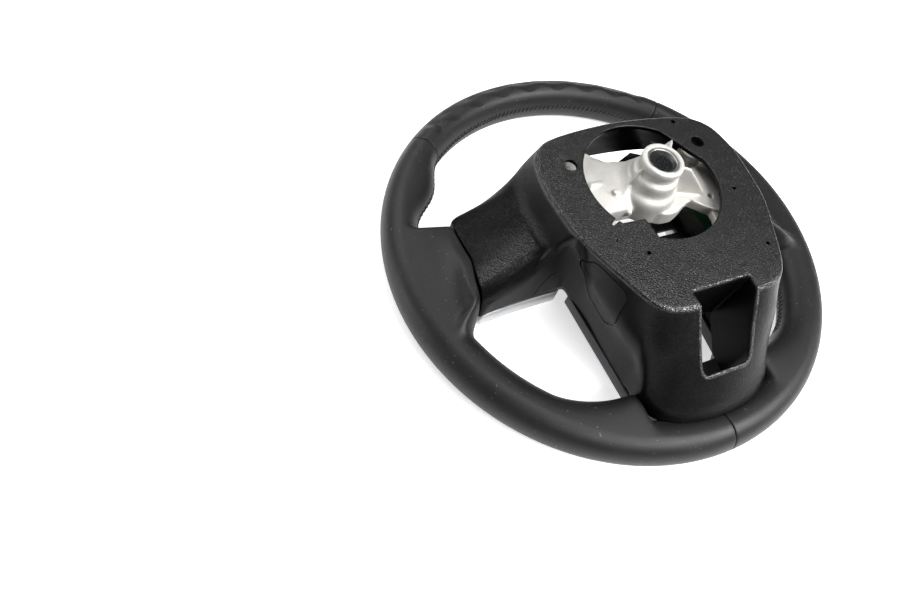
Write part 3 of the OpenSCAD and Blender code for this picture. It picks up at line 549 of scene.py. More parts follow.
def rim_section(a, t, grip_depth=0.0, shrink=0.0):
    """Points of the leather rim: a super-ellipse section at the angles a and t, swept round the axis. Its
    size is drawn in by shrink, and finger grips are pressed into its back as cosine waves."""
    c, s = np.cos(t * DEG), np.sin(t * DEG)
    web = in_web(a, 244, 9)
    box = 1 - 0.66 * np.maximum(in_flat(a), web)
    crisp = 1 - np.maximum(0.988 * in_flat(a), 0.66 * web)
    w = np.where(c < 0, inner_w(a), OUTER_W)
    h = np.where((c < 0) & (s > 0), lerp(HALF_H, inner_h(a), smooth(-1.6 * c)), HALF_H)
    x = np.where(c < 0, -w * np.abs(c) ** box, w * c)
    z = h * np.sign(s) * np.abs(s) ** np.where(c < 0, crisp, 1.0)
    z = np.where((c < 0) & (s > 0), z * (1 - edge_drop(a, -x) / h), z)
    dent = 0.0
    if grip_depth:
        wave = 0.5 + 0.5 * np.cos((a - 90) / (2 * SEAM_ANGLE) * GRIP_COUNT * 2 * np.pi)
        ends = smooth((np.abs(a - 90) - SEAM_ANGLE + 4) / -4)
        back = smooth((99 + 20 * wave - t) / 10) * smooth((t - 30) / 34)
        dent = grip_depth * (0.6 + 0.4 * wave) * ends * back
    draw = 1 - np.minimum(shrink / np.maximum(np.sqrt(x * x + z * z), 4), 0.9)
    r = CREST_R + x * draw - dent * np.maximum(0.3, c)
    turned = (a + swirl(a, x)) * DEG
    return np.stack([r * np.cos(turned), r * np.sin(turned), RIM_Z + z * draw - dent * s], -1)


def room_outline():
    """Outline of the lower spoke's room in the leather, seen along the axis."""
    return closed_mirror(np.array([[0, -100], [56, -100], [56, -123], [56.9, -134], [53.6, -143.5],
                                   [48.6, -149.5], [30, -154.8], [0, -ROOM_R]]))


def leather_panel(name, start, end, grip_depth, mirrored):
    """One sewn leather panel: the rim section over a range of angles, rolled in by 1 mm over the last
    0.9 mm at both ends. The panel with grips has the closer points, and the others have the room for the
    lower spoke pressed in. Each point's seam_mm is its distance along the section from the inner seam."""
    per_mm = 1 / CREST_R / DEG
    plain = np.linspace(start, end, int((end - start) / (1.15 * per_mm)))
    roll = np.array([0, 0.06, 0.18, 0.36, 0.6, 0.85]) * per_mm
    a = np.sort(np.concatenate([plain[2:-2], start + roll, end - roll]))[:, None]
    count = 126 if grip_depth else 84
    t = np.arange(count) * 360 / count + 180.0
    t = (t + 6 * np.sin(2 * (t - 90) * DEG))[None, :] % 360
    edge = np.minimum(a - start, end - a) / per_mm
    shrink = 1 - np.sqrt(1 - (1 - np.clip(edge / 0.9, 0, 1)) ** 2)
    caps = [rim_section(a[[i]], t, grip_depth, 4.0) for i in (0, -1)]
    p = np.vstack([caps[0], rim_section(a, t, grip_depth, shrink), caps[1]])
    rows, cols = p.shape[:2]
    flat = p.reshape(-1, 3)
    if not grip_depth:
        d, near = outline_distance(flat[:, :2], room_outline())
        low = (d < 0) & (np.linalg.norm(flat[:, :2], axis=1) < ROOM_R) & (flat[:, 2] > ROOM_Z)
        snap = low & (d > -1.2)
        flat[snap, :2] = near[snap]
        flat[low & ~snap, 2] = ROOM_Z
    lengths = np.linalg.norm(np.diff(p, axis=1, append=p[:, :1]), axis=2)
    along = np.concatenate([np.zeros((rows, 1)), np.cumsum(lengths, 1)[:, :-1]], 1)
    seam = np.minimum(along, lengths.sum(1, keepdims=True) - along)
    # no groove across the root and the web, so their points count as 9 mm further off
    sewn = np.vstack([a[:1], a, a[-1:]])
    seam = seam + 9 * (in_root(sewn) > 0.02) + 9 * (in_web(sewn) > 0.03)
    quads = grid_quads(rows, cols, close_cols=True)
    ends = [np.arange(cols)[::-1], np.arange(cols) + (rows - 1) * cols]
    if mirrored:
        flat = flat * [-1, 1, 1]
    else:
        quads = quads[:, ::-1]
        ends = [ring[::-1] for ring in ends]
    return put_mesh(name, flat, quads, ends, {"seam_mm": seam})


def stitch_paths(start, end, pitch, mirrored):
    """Centre lines of slanted stitches over the sewn inner edge, between two angles. Each lifts off the
    leather by 0.35 mm in its middle and dips in at its ends."""
    count = int((end - start) * DEG * (CREST_R - 14) / pitch)
    a = np.linspace(start, end, count)[:, None]
    s = np.linspace(-1, 1, 7)[None, :]
    across = (a + s * 0.45, 179 + s * 11.5)
    p = rim_section(*across)
    lift = unit(p - rim_section(*across, shrink=6.0)) * (0.35 * (1 - 2 * s ** 4))[..., None]
    return (p + lift) * ([-1, 1, 1] if mirrored else [1, 1, 1])


# Rear cover surface, by stations of its half outline from twelve to six o'clock

def leather_z(x, y):
    """Height just above the rim's leather."""
    r = math.hypot(x, y)
    d = min(OUTER_W, abs(CREST_R - r))
    return 0.0 if r < CREST_R - OUTER_W else RIM_Z + HALF_H * math.sqrt(1 - (d / OUTER_W) ** 2) + 1.2


def foot(x, y):
    """A station of the cover's foot over the rim."""
    return [x, y, max(leather_z(x, y), 22)]


def seam_side(y, back, z):
    """A station of the cover, back mm from its end, which keeps 0.4 mm off the leather's seam."""
    return [float(seam_x(y)) - 0.4 - back, y, z]


# Edge of the cover, shoulder of its walls and knee under the plateau, as points (x, y, z)
EDGE = [[0, 65, 53], [34, 63.5, 53], [62, 58, 53], [82, 50.5, 44], [96, 48.5, 26], [114, 48, 17],
        *(seam_side(y, back, FOOT_Z) for y, back in ((47.3, 3.5), (42.5, 0), (25, 0), (7, 0), (-10, 0),
                                                     (-24, 0), (-32.5, 1.5))),
        [126, -31.5, FOOT_Z], [106, -30, FOOT_Z], [85, -28.8, FOOT_Z], [70, -28.4, 15.4],
        [60.5, -28.8, FOOT_Z], [54.5, -37, 8], [52, -56, 7], [51.5, -75, 7], [51, -95, 7], [51, -110, 10],
        [53, -123, 17], [56, -134, 20],
        foot(53, -144), foot(48, -153.5), foot(36.5, -160.5), foot(18, -164.8), foot(0, -166)]
SHOULDER = [[0, 63, 66], [34, 61.5, 66], [61.5, 56, 66], [80, 50.2, 57], [94, 48.6, 46], [114, 48, 33],
            seam_side(46.8, 4.5, 31), seam_side(41.5, 1, 31.5), seam_side(25, 1, 32.7),
            seam_side(7, 1, 36.1), seam_side(-9.5, 0.86, 39.3), seam_side(-21, 1.85, 40.6),
            seam_side(-30.6, 3, 41), [120, -30.6, 45.5], [104, -29.2, 52.5], [87, -27.2, 62.5],
            [76, -29.5, 73], [67, -37, 64], [61.5, -45, 52], [61, -57, 48], [59.5, -75, 46],
            [57.5, -94, 44], [54.5, -110, 42], [55.5, -122, 40], [56.2, -133, 36], [52.5, -142.5, 35],
            [46, -150.5, 36], [34, -155.5, 37.5], [17, -158.5, 39], [0, -159.5, 39.5]]
KNEE = [[0, 60.3, 79], [34, 58.6, 79], [61, 53.6, 79], [76, 47.5, 79.5], [83.5, 43.5, 74], [87, 38.5, 71],
        [88.3, 33, 70], [89.2, 26, 69.5], [90.2, 15, 68.5], [90.2, 4, 68], [90, -6, 67.5],
        [89.6, -14, 66.5], [89, -19, 65.5], [88.8, -21.5, 63.5], [87.8, -23.6, 66.5], [84.5, -26.6, 73],
        [79.5, -31.5, 83], [75.5, -38.5, 81], [73.8, -45.5, 78], [70.5, -58, 77], [66.8, -72, 76],
        [62.8, -86, 75], [59, -98.5, 75.5], [55.5, -108, 74.5], [50.5, -115.5, 73.5], [41, -120.3, 73],
        [31, -122.3, 73], [21, -123, 73], [10.5, -123, 73], [0, -123, 73]]
# The plateau's outline, in shares of its half width and of its height above or below the axis
PLATEAU_SPAN = (85, 56, 104.5)
PLATEAU = [[0, 1], [0.4, 0.965], [0.72, 0.885], [0.84, 0.79], [0.905, 0.69], [0.94, 0.6], [0.962, 0.5],
           [0.978, 0.4], [0.995, 0.24], [1, 0.05], [0.99, -0.08], [0.98, -0.16], [0.974, -0.21],
           [0.97, -0.245], [0.966, -0.275], [0.96, -0.305], [0.952, -0.335], [0.937, -0.385], [0.912, -0.445],
           [0.853, -0.56], [0.783, -0.69], [0.712, -0.82], [0.64, -0.91], [0.555, -0.965], [0.45, -0.99],
           [0.36, -0.998], [0.27, -1], [0.18, -1], [0.09, -1], [0, -1]]
# Rows of the straight runs between edge, shoulder, hollow, knee, plateau and window, and of each curve
RUN_ROWS = [9, 6, 6, 8, 40]
CURVE_ROWS = 7
# A side spoke's lower edge: its height and its Y over X
SPOKE_EDGE_Z = [[84, 66], [88, 63], [104, 52.5], [120, 45.5], [131, 40]]
SPOKE_EDGE_Y = [[84, -27], [87, -27.2], [104, -29.2], [120, -30.6]]
# Openings: circles (y, z, radius) that a side lid is drawn round, holes (x, y, radius) in the plateau,
# the window's radius, centre and flat side, and the corners of the pad that reaches into it
LID_CORNERS = [[-43.5, 63, 8], [-56, 78, 8.5], [-73.5, 77, 9], [-76, 57, 9.5], [-71, 50, 10], [-55, 50, 9]]
SMALL_HOLES = [[48, 47, 1.8], [60, -24, 1.6], [-38.5, -58.5, 1.5], [55.7, -74.4, 1.5],
               [-55.6, -43.3, 0.9], [57, 24, 5.2], [-57, 24, 5.2]]
WINDOW_R = 52.5
WINDOW_CENTRE = np.array([-0.5, -2.0])
WINDOW_FLAT = (31, 47)
WINDOW_PAD = [[-60, -31], [-26, -32], [-25, -37], [-24, -60]]
# Grain along the rings of an opening's edge, from the surface to the foot of its wall; where it falls to 0
# the colour turns to the walls' darker tone, painted shade in the opening
LIP_GRAIN_AND_SHADE = np.array([1, 1, 1, 1, 1, 1, 1, 0.9, 0.7, 0.4, 0, 0, 0, 0])
# The insert's parting lines below a side spoke, as points (x, z)
PARTINGS = [[[88.8, 15.6], [84.9, 28], [81.3, 38.5], [79.5, 41.6], [77, 42.8], [75.2, 42.6], [74, 40]],
            [[73.4, 40.5], [71.8, 33], [69.6, 26], [66.9, 15.8]]]


def slot_outline():
    """Outline of the slot in the lower spoke."""
    return round_outline([[24.5, -94, 1.5], [-24.5, -94, 1.5], [-20.5, -141, 7], [20.5, -141, 7]], 10)


def window_radius(theta):
    """Distance from the axis to the window's edge at an angle in degrees: a circle off the axis, cut by a
    flat side and by the pad, with a short notch beside the pad."""
    d = np.stack([np.cos(theta * DEG), np.sin(theta * DEG)], -1)
    b = d @ WINDOW_CENTRE
    r = b + np.sqrt(b * b + WINDOW_R ** 2 - WINDOW_CENTRE @ WINDOW_CENTRE)
    angle, reach = WINDOW_FLAT
    facing = np.cos((theta - angle) * DEG)
    r = np.minimum(r, np.where(facing > 0.2, reach / np.maximum(facing, 0.2), 99))
    for p, q in zip(WINDOW_PAD[:-1], WINDOW_PAD[1:]):
        p, e = np.array(p, float), np.array(q, float) - np.array(p, float)
        det = d[:, 0] * -e[1] + d[:, 1] * e[0]
        det = np.where(np.abs(det) < 1e-9, 1e-9, det)
        k = (p[0] * -e[1] + p[1] * e[0]) / det
        m = (d[:, 0] * p[1] - d[:, 1] * p[0]) / det
        r = np.where((k > 0) & (m >= 0) & (m <= 1), np.minimum(r, k), r)
    return np.where((theta > 210.1) & (theta < 212.6), 60.6, r)


def bend(rings, cuts):
    """Rows between rings: straight runs, and over each inner ring the curve (1-t)^2 A + 2t(1-t) B +
    t^2 C, which starts and ends at the ring's two cuts, in mm, from it."""
    rows = []
    n = len(rings)
    span = [np.linalg.norm(rings[i + 1] - rings[i], axis=1, keepdims=True) for i in range(n - 1)]
    reach = [[np.minimum(cuts[i][0], 0.48 * span[i - 1]), np.minimum(cuts[i][1], 0.48 * span[i])]
             if 0 < i < n - 1 else [0, 0] for i in range(n)]
    for i in range(n - 1):
        a = rings[i] + (rings[i + 1] - rings[i]) / span[i] * reach[i][1]
        b = rings[i + 1] - (rings[i + 1] - rings[i]) / span[i] * reach[i + 1][0]
        k = RUN_ROWS[i]
        rows += [lerp(a, b, j / k) for j in range(1 if i else 0, k + 1)]
        if i < n - 2:
            after = rings[i + 1] + (rings[i + 2] - rings[i + 1]) / span[i + 1] * reach[i + 1][1]
            rows += [quadratic(b, rings[i + 1], after, j / CURVE_ROWS) for j in range(1, CURVE_ROWS + 1)]
    return np.array(rows)


def cover_rows():
    """Rows of the cover's outer skin, from its open edge to the window's edge, and that edge."""
    steps = 8
    edge, shoulder, knee = (closed_mirror(catmull_rom(half, steps)) for half in (EDGE, SHOULDER, KNEE))
    wide, high, deep = PLATEAU_SPAN
    plan = closed_mirror(catmull_rom([[u * wide, v * (high if v > 0 else deep)] for u, v in PLATEAU], steps))
    plateau = np.column_stack([plan, np.full(len(plan), COVER_Z)])
    theta = np.degrees(np.arctan2(plan[:, 1], plan[:, 0])) % 360
    r = window_radius(theta) + WINDOW_LIP
    window = np.column_stack([r * np.cos(theta * DEG), r * np.sin(theta * DEG), np.full(len(r), COVER_Z)])
    # between shoulder and knee the walls bulge and the lower spoke's back sags a little
    hollow = lerp(shoulder, knee, 0.5)
    run = np.linalg.norm((shoulder - knee)[:, :2], axis=1)
    sag = lerp(0.5, -1.6, smooth((-90 - hollow[:, 1]) / 40))
    hollow[:, 0] *= 1 + 0.05 * smooth((-40 - hollow[:, 1]) / 20) * smooth((hollow[:, 1] + 135) / 25)
    hollow[:, 2] -= sag * np.clip((run - 8) / 30, 0, 1)
    # how far a column belongs to the lower spoke's wall, to a side spoke's end and to its underside
    down = -shoulder[:, 1:2]
    out = np.abs(shoulder[:, :1])
    wall = smooth((down - 34) / 12) * (1 - smooth((down - 100) / 14))
    along = unit(np.roll(shoulder, -1, 0)[:, :2] - np.roll(shoulder, 1, 0)[:, :2])
    spoke = smooth((out - 66) / 12)
    end = spoke * smooth((0.75 - np.abs(along[:, :1])) / 0.5)
    below = spoke * smooth((down - 12) / 10) * (1 - end) * smooth((98 - out) / 12)
    foot_cut = lerp(lerp(lerp(3.2, 1.2, end), 13.0, below), 13.0, wall)
    knee_cut = lerp(lerp(5.0, 10.0, below), 13.0, wall)
    knee_cut = np.maximum(knee_cut, 9.0 * smooth((down - 100) / 14))
    rows = bend([edge, shoulder, hollow, knee, plateau, window],
                [None, (foot_cut, foot_cut), (30, 30), (knee_cut, knee_cut + 2), (2.5, 2.5), None])
    # lower edge of the side spokes: a circle's fall, as in edge_drop
    x, y, z = np.abs(rows[..., 0]), rows[..., 1], rows[..., 2]
    top = np.interp(x, *np.transpose(SPOKE_EDGE_Z))
    radius = SPOKE_EDGE_R * smooth((x - 83) / 15)
    q = np.clip(1 - (y - np.interp(x, *np.transpose(SPOKE_EDGE_Y))) / np.maximum(radius, 0.1), 0, 1)
    fall = radius * (1 - np.sqrt(1 - q * q)) * (y > -45)
    share = (np.minimum(z, top) - FOOT_Z) / (top - FOOT_Z)
    rows[..., 2] = np.where(z > FOOT_Z, z - share * fall, z)
    return rows, window


def row_normals(rows):
    """Outward normals of closed rows."""
    du = np.roll(rows, -1, axis=1) - np.roll(rows, 1, axis=1)
    dv = np.gradient(rows, axis=0)
    return unit(np.cross(dv, du))


def trim_quads(points, quads, field, values):
    """Cuts quads along the line where a field is zero and keeps the positive side; the line crosses an
    edge at a share f0 / (f0 - f1) of its length."""
    keep = field[quads] >= 0
    whole = quads[keep.all(1)]
    extra, extra_values, polygons, made = [], {k: [] for k in values}, [], {}
    for quad, ok in zip(quads[keep.any(1) & ~keep.all(1)], keep[keep.any(1) & ~keep.all(1)]):
        ring = []
        for m in range(4):
            a, b = int(quad[m]), int(quad[(m + 1) % 4])
            if ok[m]:
                ring.append(a)
            if ok[m] != ok[(m + 1) % 4]:
                key = (min(a, b), max(a, b))
                if key not in made:
                    t = field[key[0]] / (field[key[0]] - field[key[1]])
                    made[key] = len(points) + len(extra)
                    extra.append(lerp(points[key[0]], points[key[1]], t))
                    for k, v in values.items():
                        extra_values[k].append(lerp(v[key[0]], v[key[1]], t))
                ring.append(made[key])
        polygons.append(np.array(ring))
    points = np.vstack([points] + ([np.array(extra)] if extra else []))
    values = {k: np.concatenate([v, extra_values[k]]) for k, v in values.items()}
    return points, whole, polygons, values


def opening_field(points, outline, plane, way, margin):
    """Distance outside an opening's outline less a margin, for the points on its side of the part. Points
    that are far from it get 9 mm."""
    flat = points[:, plane]
    near = (flat > outline.min(0) - 6).all(1) & (flat < outline.max(0) + 6).all(1) & (points @ way < -30)
    pick = np.nonzero(near)[0]
    field = np.full(len(points), 9.0)
    if len(pick):
        field[pick] = outline_distance(flat[pick], outline)[0] - margin
    return field


def land(tree, spots, way):
    """Where rays along a way meet a surface, for spots given as whole points."""
    out = []
    for spot in spots:
        hit = tree.ray_cast(Vector(spot - way * 200), Vector(way))[0]
        if hit is None:
            raise RuntimeError("an opening's edge misses the cover")
        out.append(tuple(hit))
    return np.array(out)


def opening_lip(tree, outline, plane, way, lip, depth):
    """Rings of an opening's rolled edge: from the surface a little outside the outline, over the curve
    (1-t)^2 A + 2t(1-t) B + t^2 C, and down its wall."""
    out = outward(outline)

    def spots(offset):
        p = np.zeros((len(outline), 3))
        p[:, plane] = outline + out * offset
        return land(tree, p, way)
    start, corner = spots(lip), spots(0.0)
    rings = [spots(lip + 0.6) - way * 0.015, spots(lip + 0.25) - way * 0.02]
    for t in np.linspace(0, 1, 8):
        rings.append(quadratic(start - way * 0.02, corner, corner + way * lip, t))
    deep = depth(corner) if callable(depth) else np.full(len(outline), depth)
    for share in (0.1, 0.35, 0.7, 1.0):
        rings.append(corner + way * np.maximum(lip + (deep - lip) * share, lip)[:, None])
    return np.array(rings)


def cover_openings():
    """Openings of the cover: outline, its plane, the ray's way, lip radius and depth of the wall."""
    down = np.array([0.0, 0.0, -1.0])

    def slot_depth(p):
        return np.maximum(p[:, 2] - np.interp(-p[:, 1], [80, 98, 120, 150], [60, 42, 27, 26]), 4)
    found = [(even_outline(slot_outline(), 260), [0, 1], down, SLOT_LIP, slot_depth)]
    for x, y, r in SMALL_HOLES:
        found.append((circle_outline(x, y, r), [0, 1], down, FINE_LIP, COVER_WALL))
    for side in (-1.0, 1.0):
        found.append((lid_outline(0.3, 200), [1, 2], np.array([-side, 0.0, 0.0]), FINE_LIP, 2.2))
    return found


def lid_outline(spare, n):
    """Outline of a side lid's opening with spare mm round the lid, as n points (y, z)."""
    return even_outline(hull_of_circles([[y, z, r + spare] for y, z, r in LID_CORNERS]), n)


def cover_mesh(name, rows, window, tree):
    """The rear cover: outer skin trimmed round its openings, their rolled edges, the window's lip, and
    an inner skin."""
    normals = row_normals(rows)
    centre = unit(window * [1, 1, 0])
    rolled = rows[0] - normals[0] + [0, 0, 0.2]
    turn = [window - WINDOW_LIP * (centre * np.sin(w) + [0, 0, 1 - np.cos(w)])
            for w in np.arange(1, 7) / 6 * np.pi / 2]
    turn += [window - centre * inset - [0, 0, COVER_WALL] for inset in (WINDOW_LIP, -0.6)]
    outer = np.concatenate([rolled[None], rows, np.array(turn)])
    tilt = row_normals(outer)[..., 2]
    # the grain attribute follows how far a face turns up; besides the grain's depth it darkens the walls'
    # colour as painted shade
    grain = np.maximum(smooth((tilt - 0.62) / 0.26), 0.5 * smooth((tilt + 0.02) / 0.36))
    # the plateau's rounded edge keeps full grain all round: the back's tone, without the painted shade, and
    # full sheen
    first = 1 + sum(RUN_ROWS[:4]) + 3 * CURVE_ROWS
    grain[first:first + CURVE_ROWS + 2] = 1.0
    points = outer.reshape(-1, 3)
    # inner skin, one column and row in three
    inner = (rows - normals * (COVER_WALL - 0.2))[2::3, ::3]
    inside = inner.reshape(-1, 3)
    field = np.full(len(points), 9.0)
    inner_field = np.full(len(inside), 9.0)
    openings = cover_openings()
    for outline, plane, way, lip, _ in openings:
        field = np.minimum(field, opening_field(points, outline, plane, way, lip + 0.3))
        inner_field = np.minimum(inner_field, opening_field(inside, outline, plane, way, 0.0))
    points, whole, polygons, values = trim_quads(points, grid_quads(*outer.shape[:2], close_cols=True), field,
                                                 {"grain": grain.ravel()})
    quads_in = grid_quads(*inner.shape[:2], close_cols=True)
    quads_in = quads_in[~(inner_field < 0)[quads_in].any(1)]
    quads = [whole, quads_in[:, ::-1] + len(points)]
    points = np.vstack([points, inside])
    # the inner skin gets grain 0, whose dark wall tone is painted shade inside the cover
    tone = [values["grain"], np.zeros(len(inside))]
    for opening in openings:
        way = opening[2]
        rings = opening_lip(tree, *opening)
        faces = grid_quads(*rings.shape[:2], close_cols=True) + len(points)
        facing = np.cross(rings[0, 1] - rings[0, 0], rings[1, 0] - rings[0, 0]) @ way
        quads.append(faces if facing > 0 else faces[:, ::-1])
        points = np.vstack([points, rings.reshape(-1, 3)])
        # down each opening's wall the grain falls to 0, whose dark tone is painted shade in the opening; the
        # side lids' recesses get it all round
        tone.append(np.repeat(LIP_GRAIN_AND_SHADE * abs(way[2]), rings.shape[1]))
    polygons = [ring[::-1] for ring in polygons]
    points, faces, values = shed_loose(points, [np.vstack(quads)[:, ::-1]] + polygons,
                                       {"grain": np.concatenate(tone)})
    return put_mesh(name, points, faces[0], faces[1:], values)


def lid_mesh(name, side, tree):
    """A side lid: rings drawn in to its centre and laid on the cover's wall, with a rounded rim."""
    outline = lid_outline(-0.2, 180)
    scales = np.concatenate([np.linspace(0, 0.96, 26)[1:], [0.975, 0.985, 0.992, 0.997, 1.0, 1.0]])
    drops = np.concatenate([np.zeros(26), [0.05, 0.15, 0.35, 0.6, 2.2]])
    way = np.array([-side, 0.0, 0.0])
    centre = outline.mean(0)
    flat = (centre + (outline - centre) * scales[:, None, None]).reshape(-1, 2)
    points = land(tree, np.column_stack([np.zeros(len(flat)), flat]), way)
    points += np.repeat(drops, len(outline))[:, None] * way
    quads = grid_quads(len(scales), len(outline), close_cols=True)
    cap = np.arange(len(outline))
    if side > 0:
        return put_mesh(name, points, quads[:, ::-1], [cap])
    return put_mesh(name, points, quads, [cap[::-1]])


def parting_lines(name, tree):
    """Thin dark grooves of the cover's insert below each side spoke: threads half sunk in the wall,
    through the PARTINGS laid on it from below."""
    points, quads = [], []
    for line in PARTINGS:
        share = np.linspace(0, len(line) - 1, 36)
        x, z = (np.interp(share, np.arange(len(line)), column) for column in np.transpose(line))
        for side in (-1, 1):
            path = np.stack([x * side, np.full(len(x), -28.0), z], -1)
            tube, faces = tubes(land(tree, path, np.array([0.0, 1.0, 0.0]))[None])
            quads.append(faces + sum(len(t) for t in points))
            points.append(tube)
    return put_mesh(name, np.vstack(points), np.vstack(quads))


# Operators

def length(label, words, default, low, high):
    """A length in metres that a user may change."""
    return bpy.props.FloatProperty(name=label, description=words, default=default, min=low, max=high,
                                   unit="LENGTH", precision=4)


def tone(label, code):
    """A colour that a user may change."""
    return bpy.props.FloatVectorProperty(name=label, description="One of the two tones it drifts between",
                                         default=srgb(code), min=0, max=1, size=4, subtype="COLOR")


class WheelSettings(bpy.types.PropertyGroup):
    """Sizes and colours of the wheel's looks."""
    stitch_pitch: length("Stitch pitch", "Distance between stitches on the inner edge", 0.0043, 0.002, 0.01)
    grip_depth: length("Grip depth", "Depth of the finger grips", 0.0023, 0.0005, 0.004)
    pore_size: length("Pore size", "Width of the leather's pores", 0.0011, 0.0003, 0.005)
    grain_size: length("Grain size", "Width of the cover's grain", 0.00175, 0.0003, 0.005)
    cast_voxel: length("Cast detail", "Cells that round off the casting", 0.0009, 0.0005, 0.003)
    leather_dark: tone("Leather, dark", "#0e0e0f")
    leather_light: tone("Leather, light", "#171718")
    cover_dark: tone("Cover, dark", "#0c0c0d")
    cover_light: tone("Cover, light", "#111112")
    silver_dark: tone("Silver frame, dark", "#c3c4c6")
    silver_light: tone("Silver frame, light", "#d0d1d3")


class WHEEL_OT_leather(bpy.types.Operator):
    """Builds the three sewn leather panels of the rim and their stitches"""
    bl_idname = "wheel.leather"
    bl_label = "Leather rim"

    def execute(self, context):
        choices = context.scene.wheel_settings
        pitch = choices.stitch_pitch * 1000
        gap = 0.15 / CREST_R / DEG
        top = (90 - SEAM_ANGLE, 90 + SEAM_ANGLE)
        side = (top[1] + gap, 270 - gap)
        for label, ends, depth, mirrored in (("top", top, choices.grip_depth * 1000, False),
                                             ("left", side, 0.0, False), ("right", side, 0.0, True)):
            wear(leather_panel("leather_panel_" + label, *ends, depth, mirrored), finish_of("leather"),
                 nodes=["rim_leather_" + label])
        runs = [stitch_paths(top[0] + 1, top[1] - 1, pitch, False)]
        for mirrored in (False, True):
            # above and below the side spoke
            runs += [stitch_paths(134, 161, pitch, mirrored), stitch_paths(201, 229, pitch, mirrored)]
        wear(put_mesh("rim_stitches", *tubes(np.vstack(runs))), finish_of("thread"))
        return {"FINISHED"}


class WHEEL_OT_cover(bpy.types.Operator):
    """Builds the moulded rear cover with its window, slot and holes, and the two side lids"""
    bl_idname = "wheel.cover"
    bl_label = "Rear cover"

    def execute(self, context):
        rows, window = cover_rows()
        tree = ray_tree(rows)
        wear(cover_mesh("moulded_rear_cover", rows, window, tree), finish_of("cover_plastic"),
             nodes=["rear_cover"])
        wear(parting_lines("cover_parting_lines", tree), finish_of("tray_plastic"))
        for side, label in ((-1.0, "left"), (1.0, "right")):
            wear(lid_mesh("side_lid_skin_" + label, side, tree), finish_of("cover_smooth"),
                 nodes=["side_lid_" + label])
        return {"FINISHED"}


# Planes that bound the casting round the hub, in metres: a point and the way out
HUB_PLANES = [((-0.066, 0, 0), (-1, 0, 0)), ((0.066, 0, 0), (1, 0, 0)), ((0, -0.06, 0), (0, -1, 0)),
              ((0, 0.05, 0), (0, 1, 0)), ((0, 0, 0.056), (0, 0, -1))]


def slice_mesh(bm, place, way, **side):
    """Cuts a mesh along a plane, clears one side of it and gives back the edges of the cut."""
    geom = bm.verts[:] + bm.edges[:] + bm.faces[:]
    done = bmesh.ops.bisect_plane(bm, geom=geom, plane_co=place, plane_no=way, **side)
    return [e for e in done["geom_cut"] if isinstance(e, bmesh.types.BMEdge)]


class WHEEL_OT_casting(bpy.types.Operator):
    """Rounds off the cast armature round the hub and builds the splined sleeve"""
    bl_idname = "wheel.casting"
    bl_label = "Casting and hub"

    def execute(self, context):
        core = cad_copy("cast_hub_and_plate", "armature")
        rest = core.data.copy()
        cut, outer = bmesh.new(), bmesh.new()
        cut.from_mesh(core.data)
        for place, way in HUB_PLANES:
            part = cut.copy()
            slice_mesh(part, place, way, clear_inner=True)
            held = bpy.data.meshes.new("held")
            part.to_mesh(held)
            part.free()
            outer.from_mesh(held)
            bpy.data.meshes.remove(held)
            bmesh.ops.holes_fill(cut, edges=slice_mesh(cut, place, way, clear_outer=True), sides=0)
        cut.to_mesh(core.data)
        outer.to_mesh(rest)
        cut.free()
        outer.free()
        remesh = core.modifiers.new("Cast skin", "REMESH")
        remesh.mode = "VOXEL"
        remesh.voxel_size = context.scene.wheel_settings.cast_voxel
        remesh.use_smooth_shade = True
        soften = core.modifiers.new("Cast edges", "SMOOTH")
        soften.factor = 0.5
        soften.iterations = 5
        wear(core, finish_of("cast_aluminium"), nodes=["armature"])
        wear(new_object("cast_spokes_and_ring", rest), finish_of("cast_aluminium"))
        wear(sleeve_mesh("splined_sleeve"), finish_of("steel"), nodes=["hub_sleeve"])
        return {"FINISHED"}


def sleeve_mesh(name):
    """The hub's steel sleeve as a lathe surface; its bore has 36 teeth whose flanks follow a
    flattened cosine of the angle."""
    low, top, teeth, tooth_h = 71.0, HUB_Z - 1, 36, 0.42
    # radius, height and share of the teeth
    profile = [(12.0, low, 0), (12.0, top - 0.3, 0), (11.8, top, 0), (10.3, top, 0), (10.05, top - 0.15, 0),
               (9.85, top - 0.6, 0), (9.8, top - 2.2, 0), (9.4, top - 3.2, 0.3), (9.4, top - 4.0, 1),
               (9.4, low + 0.6, 1), (9.8, low, 0)]
    n = teeth * 10
    w = np.arange(n) * 2 * np.pi / n
    r, z, share = np.array(profile).T[:, :, None]
    r = r + tooth_h * share * np.clip(1.7 * np.cos(teeth * w), -1, 1)
    points = np.stack([r * np.cos(w), r * np.sin(w), z + 0 * w], -1).reshape(-1, 3)
    return put_mesh(name, points, grid_quads(len(profile), n, True, True)[:, ::-1])


def frame_sweep(name, corners, profile, mirrored):
    """A frame: a closed profile of (inset, height) carried round a rounded, counter-clockwise outline
    along its inward normal."""
    path = round_outline(corners, 9)
    inset, height = np.array(profile).T
    flat = path[:, None] - outward(path)[:, None] * inset[:, None]
    points = np.dstack([flat, np.broadcast_to(height, flat.shape[:2])]).reshape(-1, 3)
    quads = grid_quads(len(path), len(profile), True, True)
    if mirrored:
        return put_mesh(name, points * [-1, 1, 1], quads[:, ::-1])
    return put_mesh(name, points, quads)


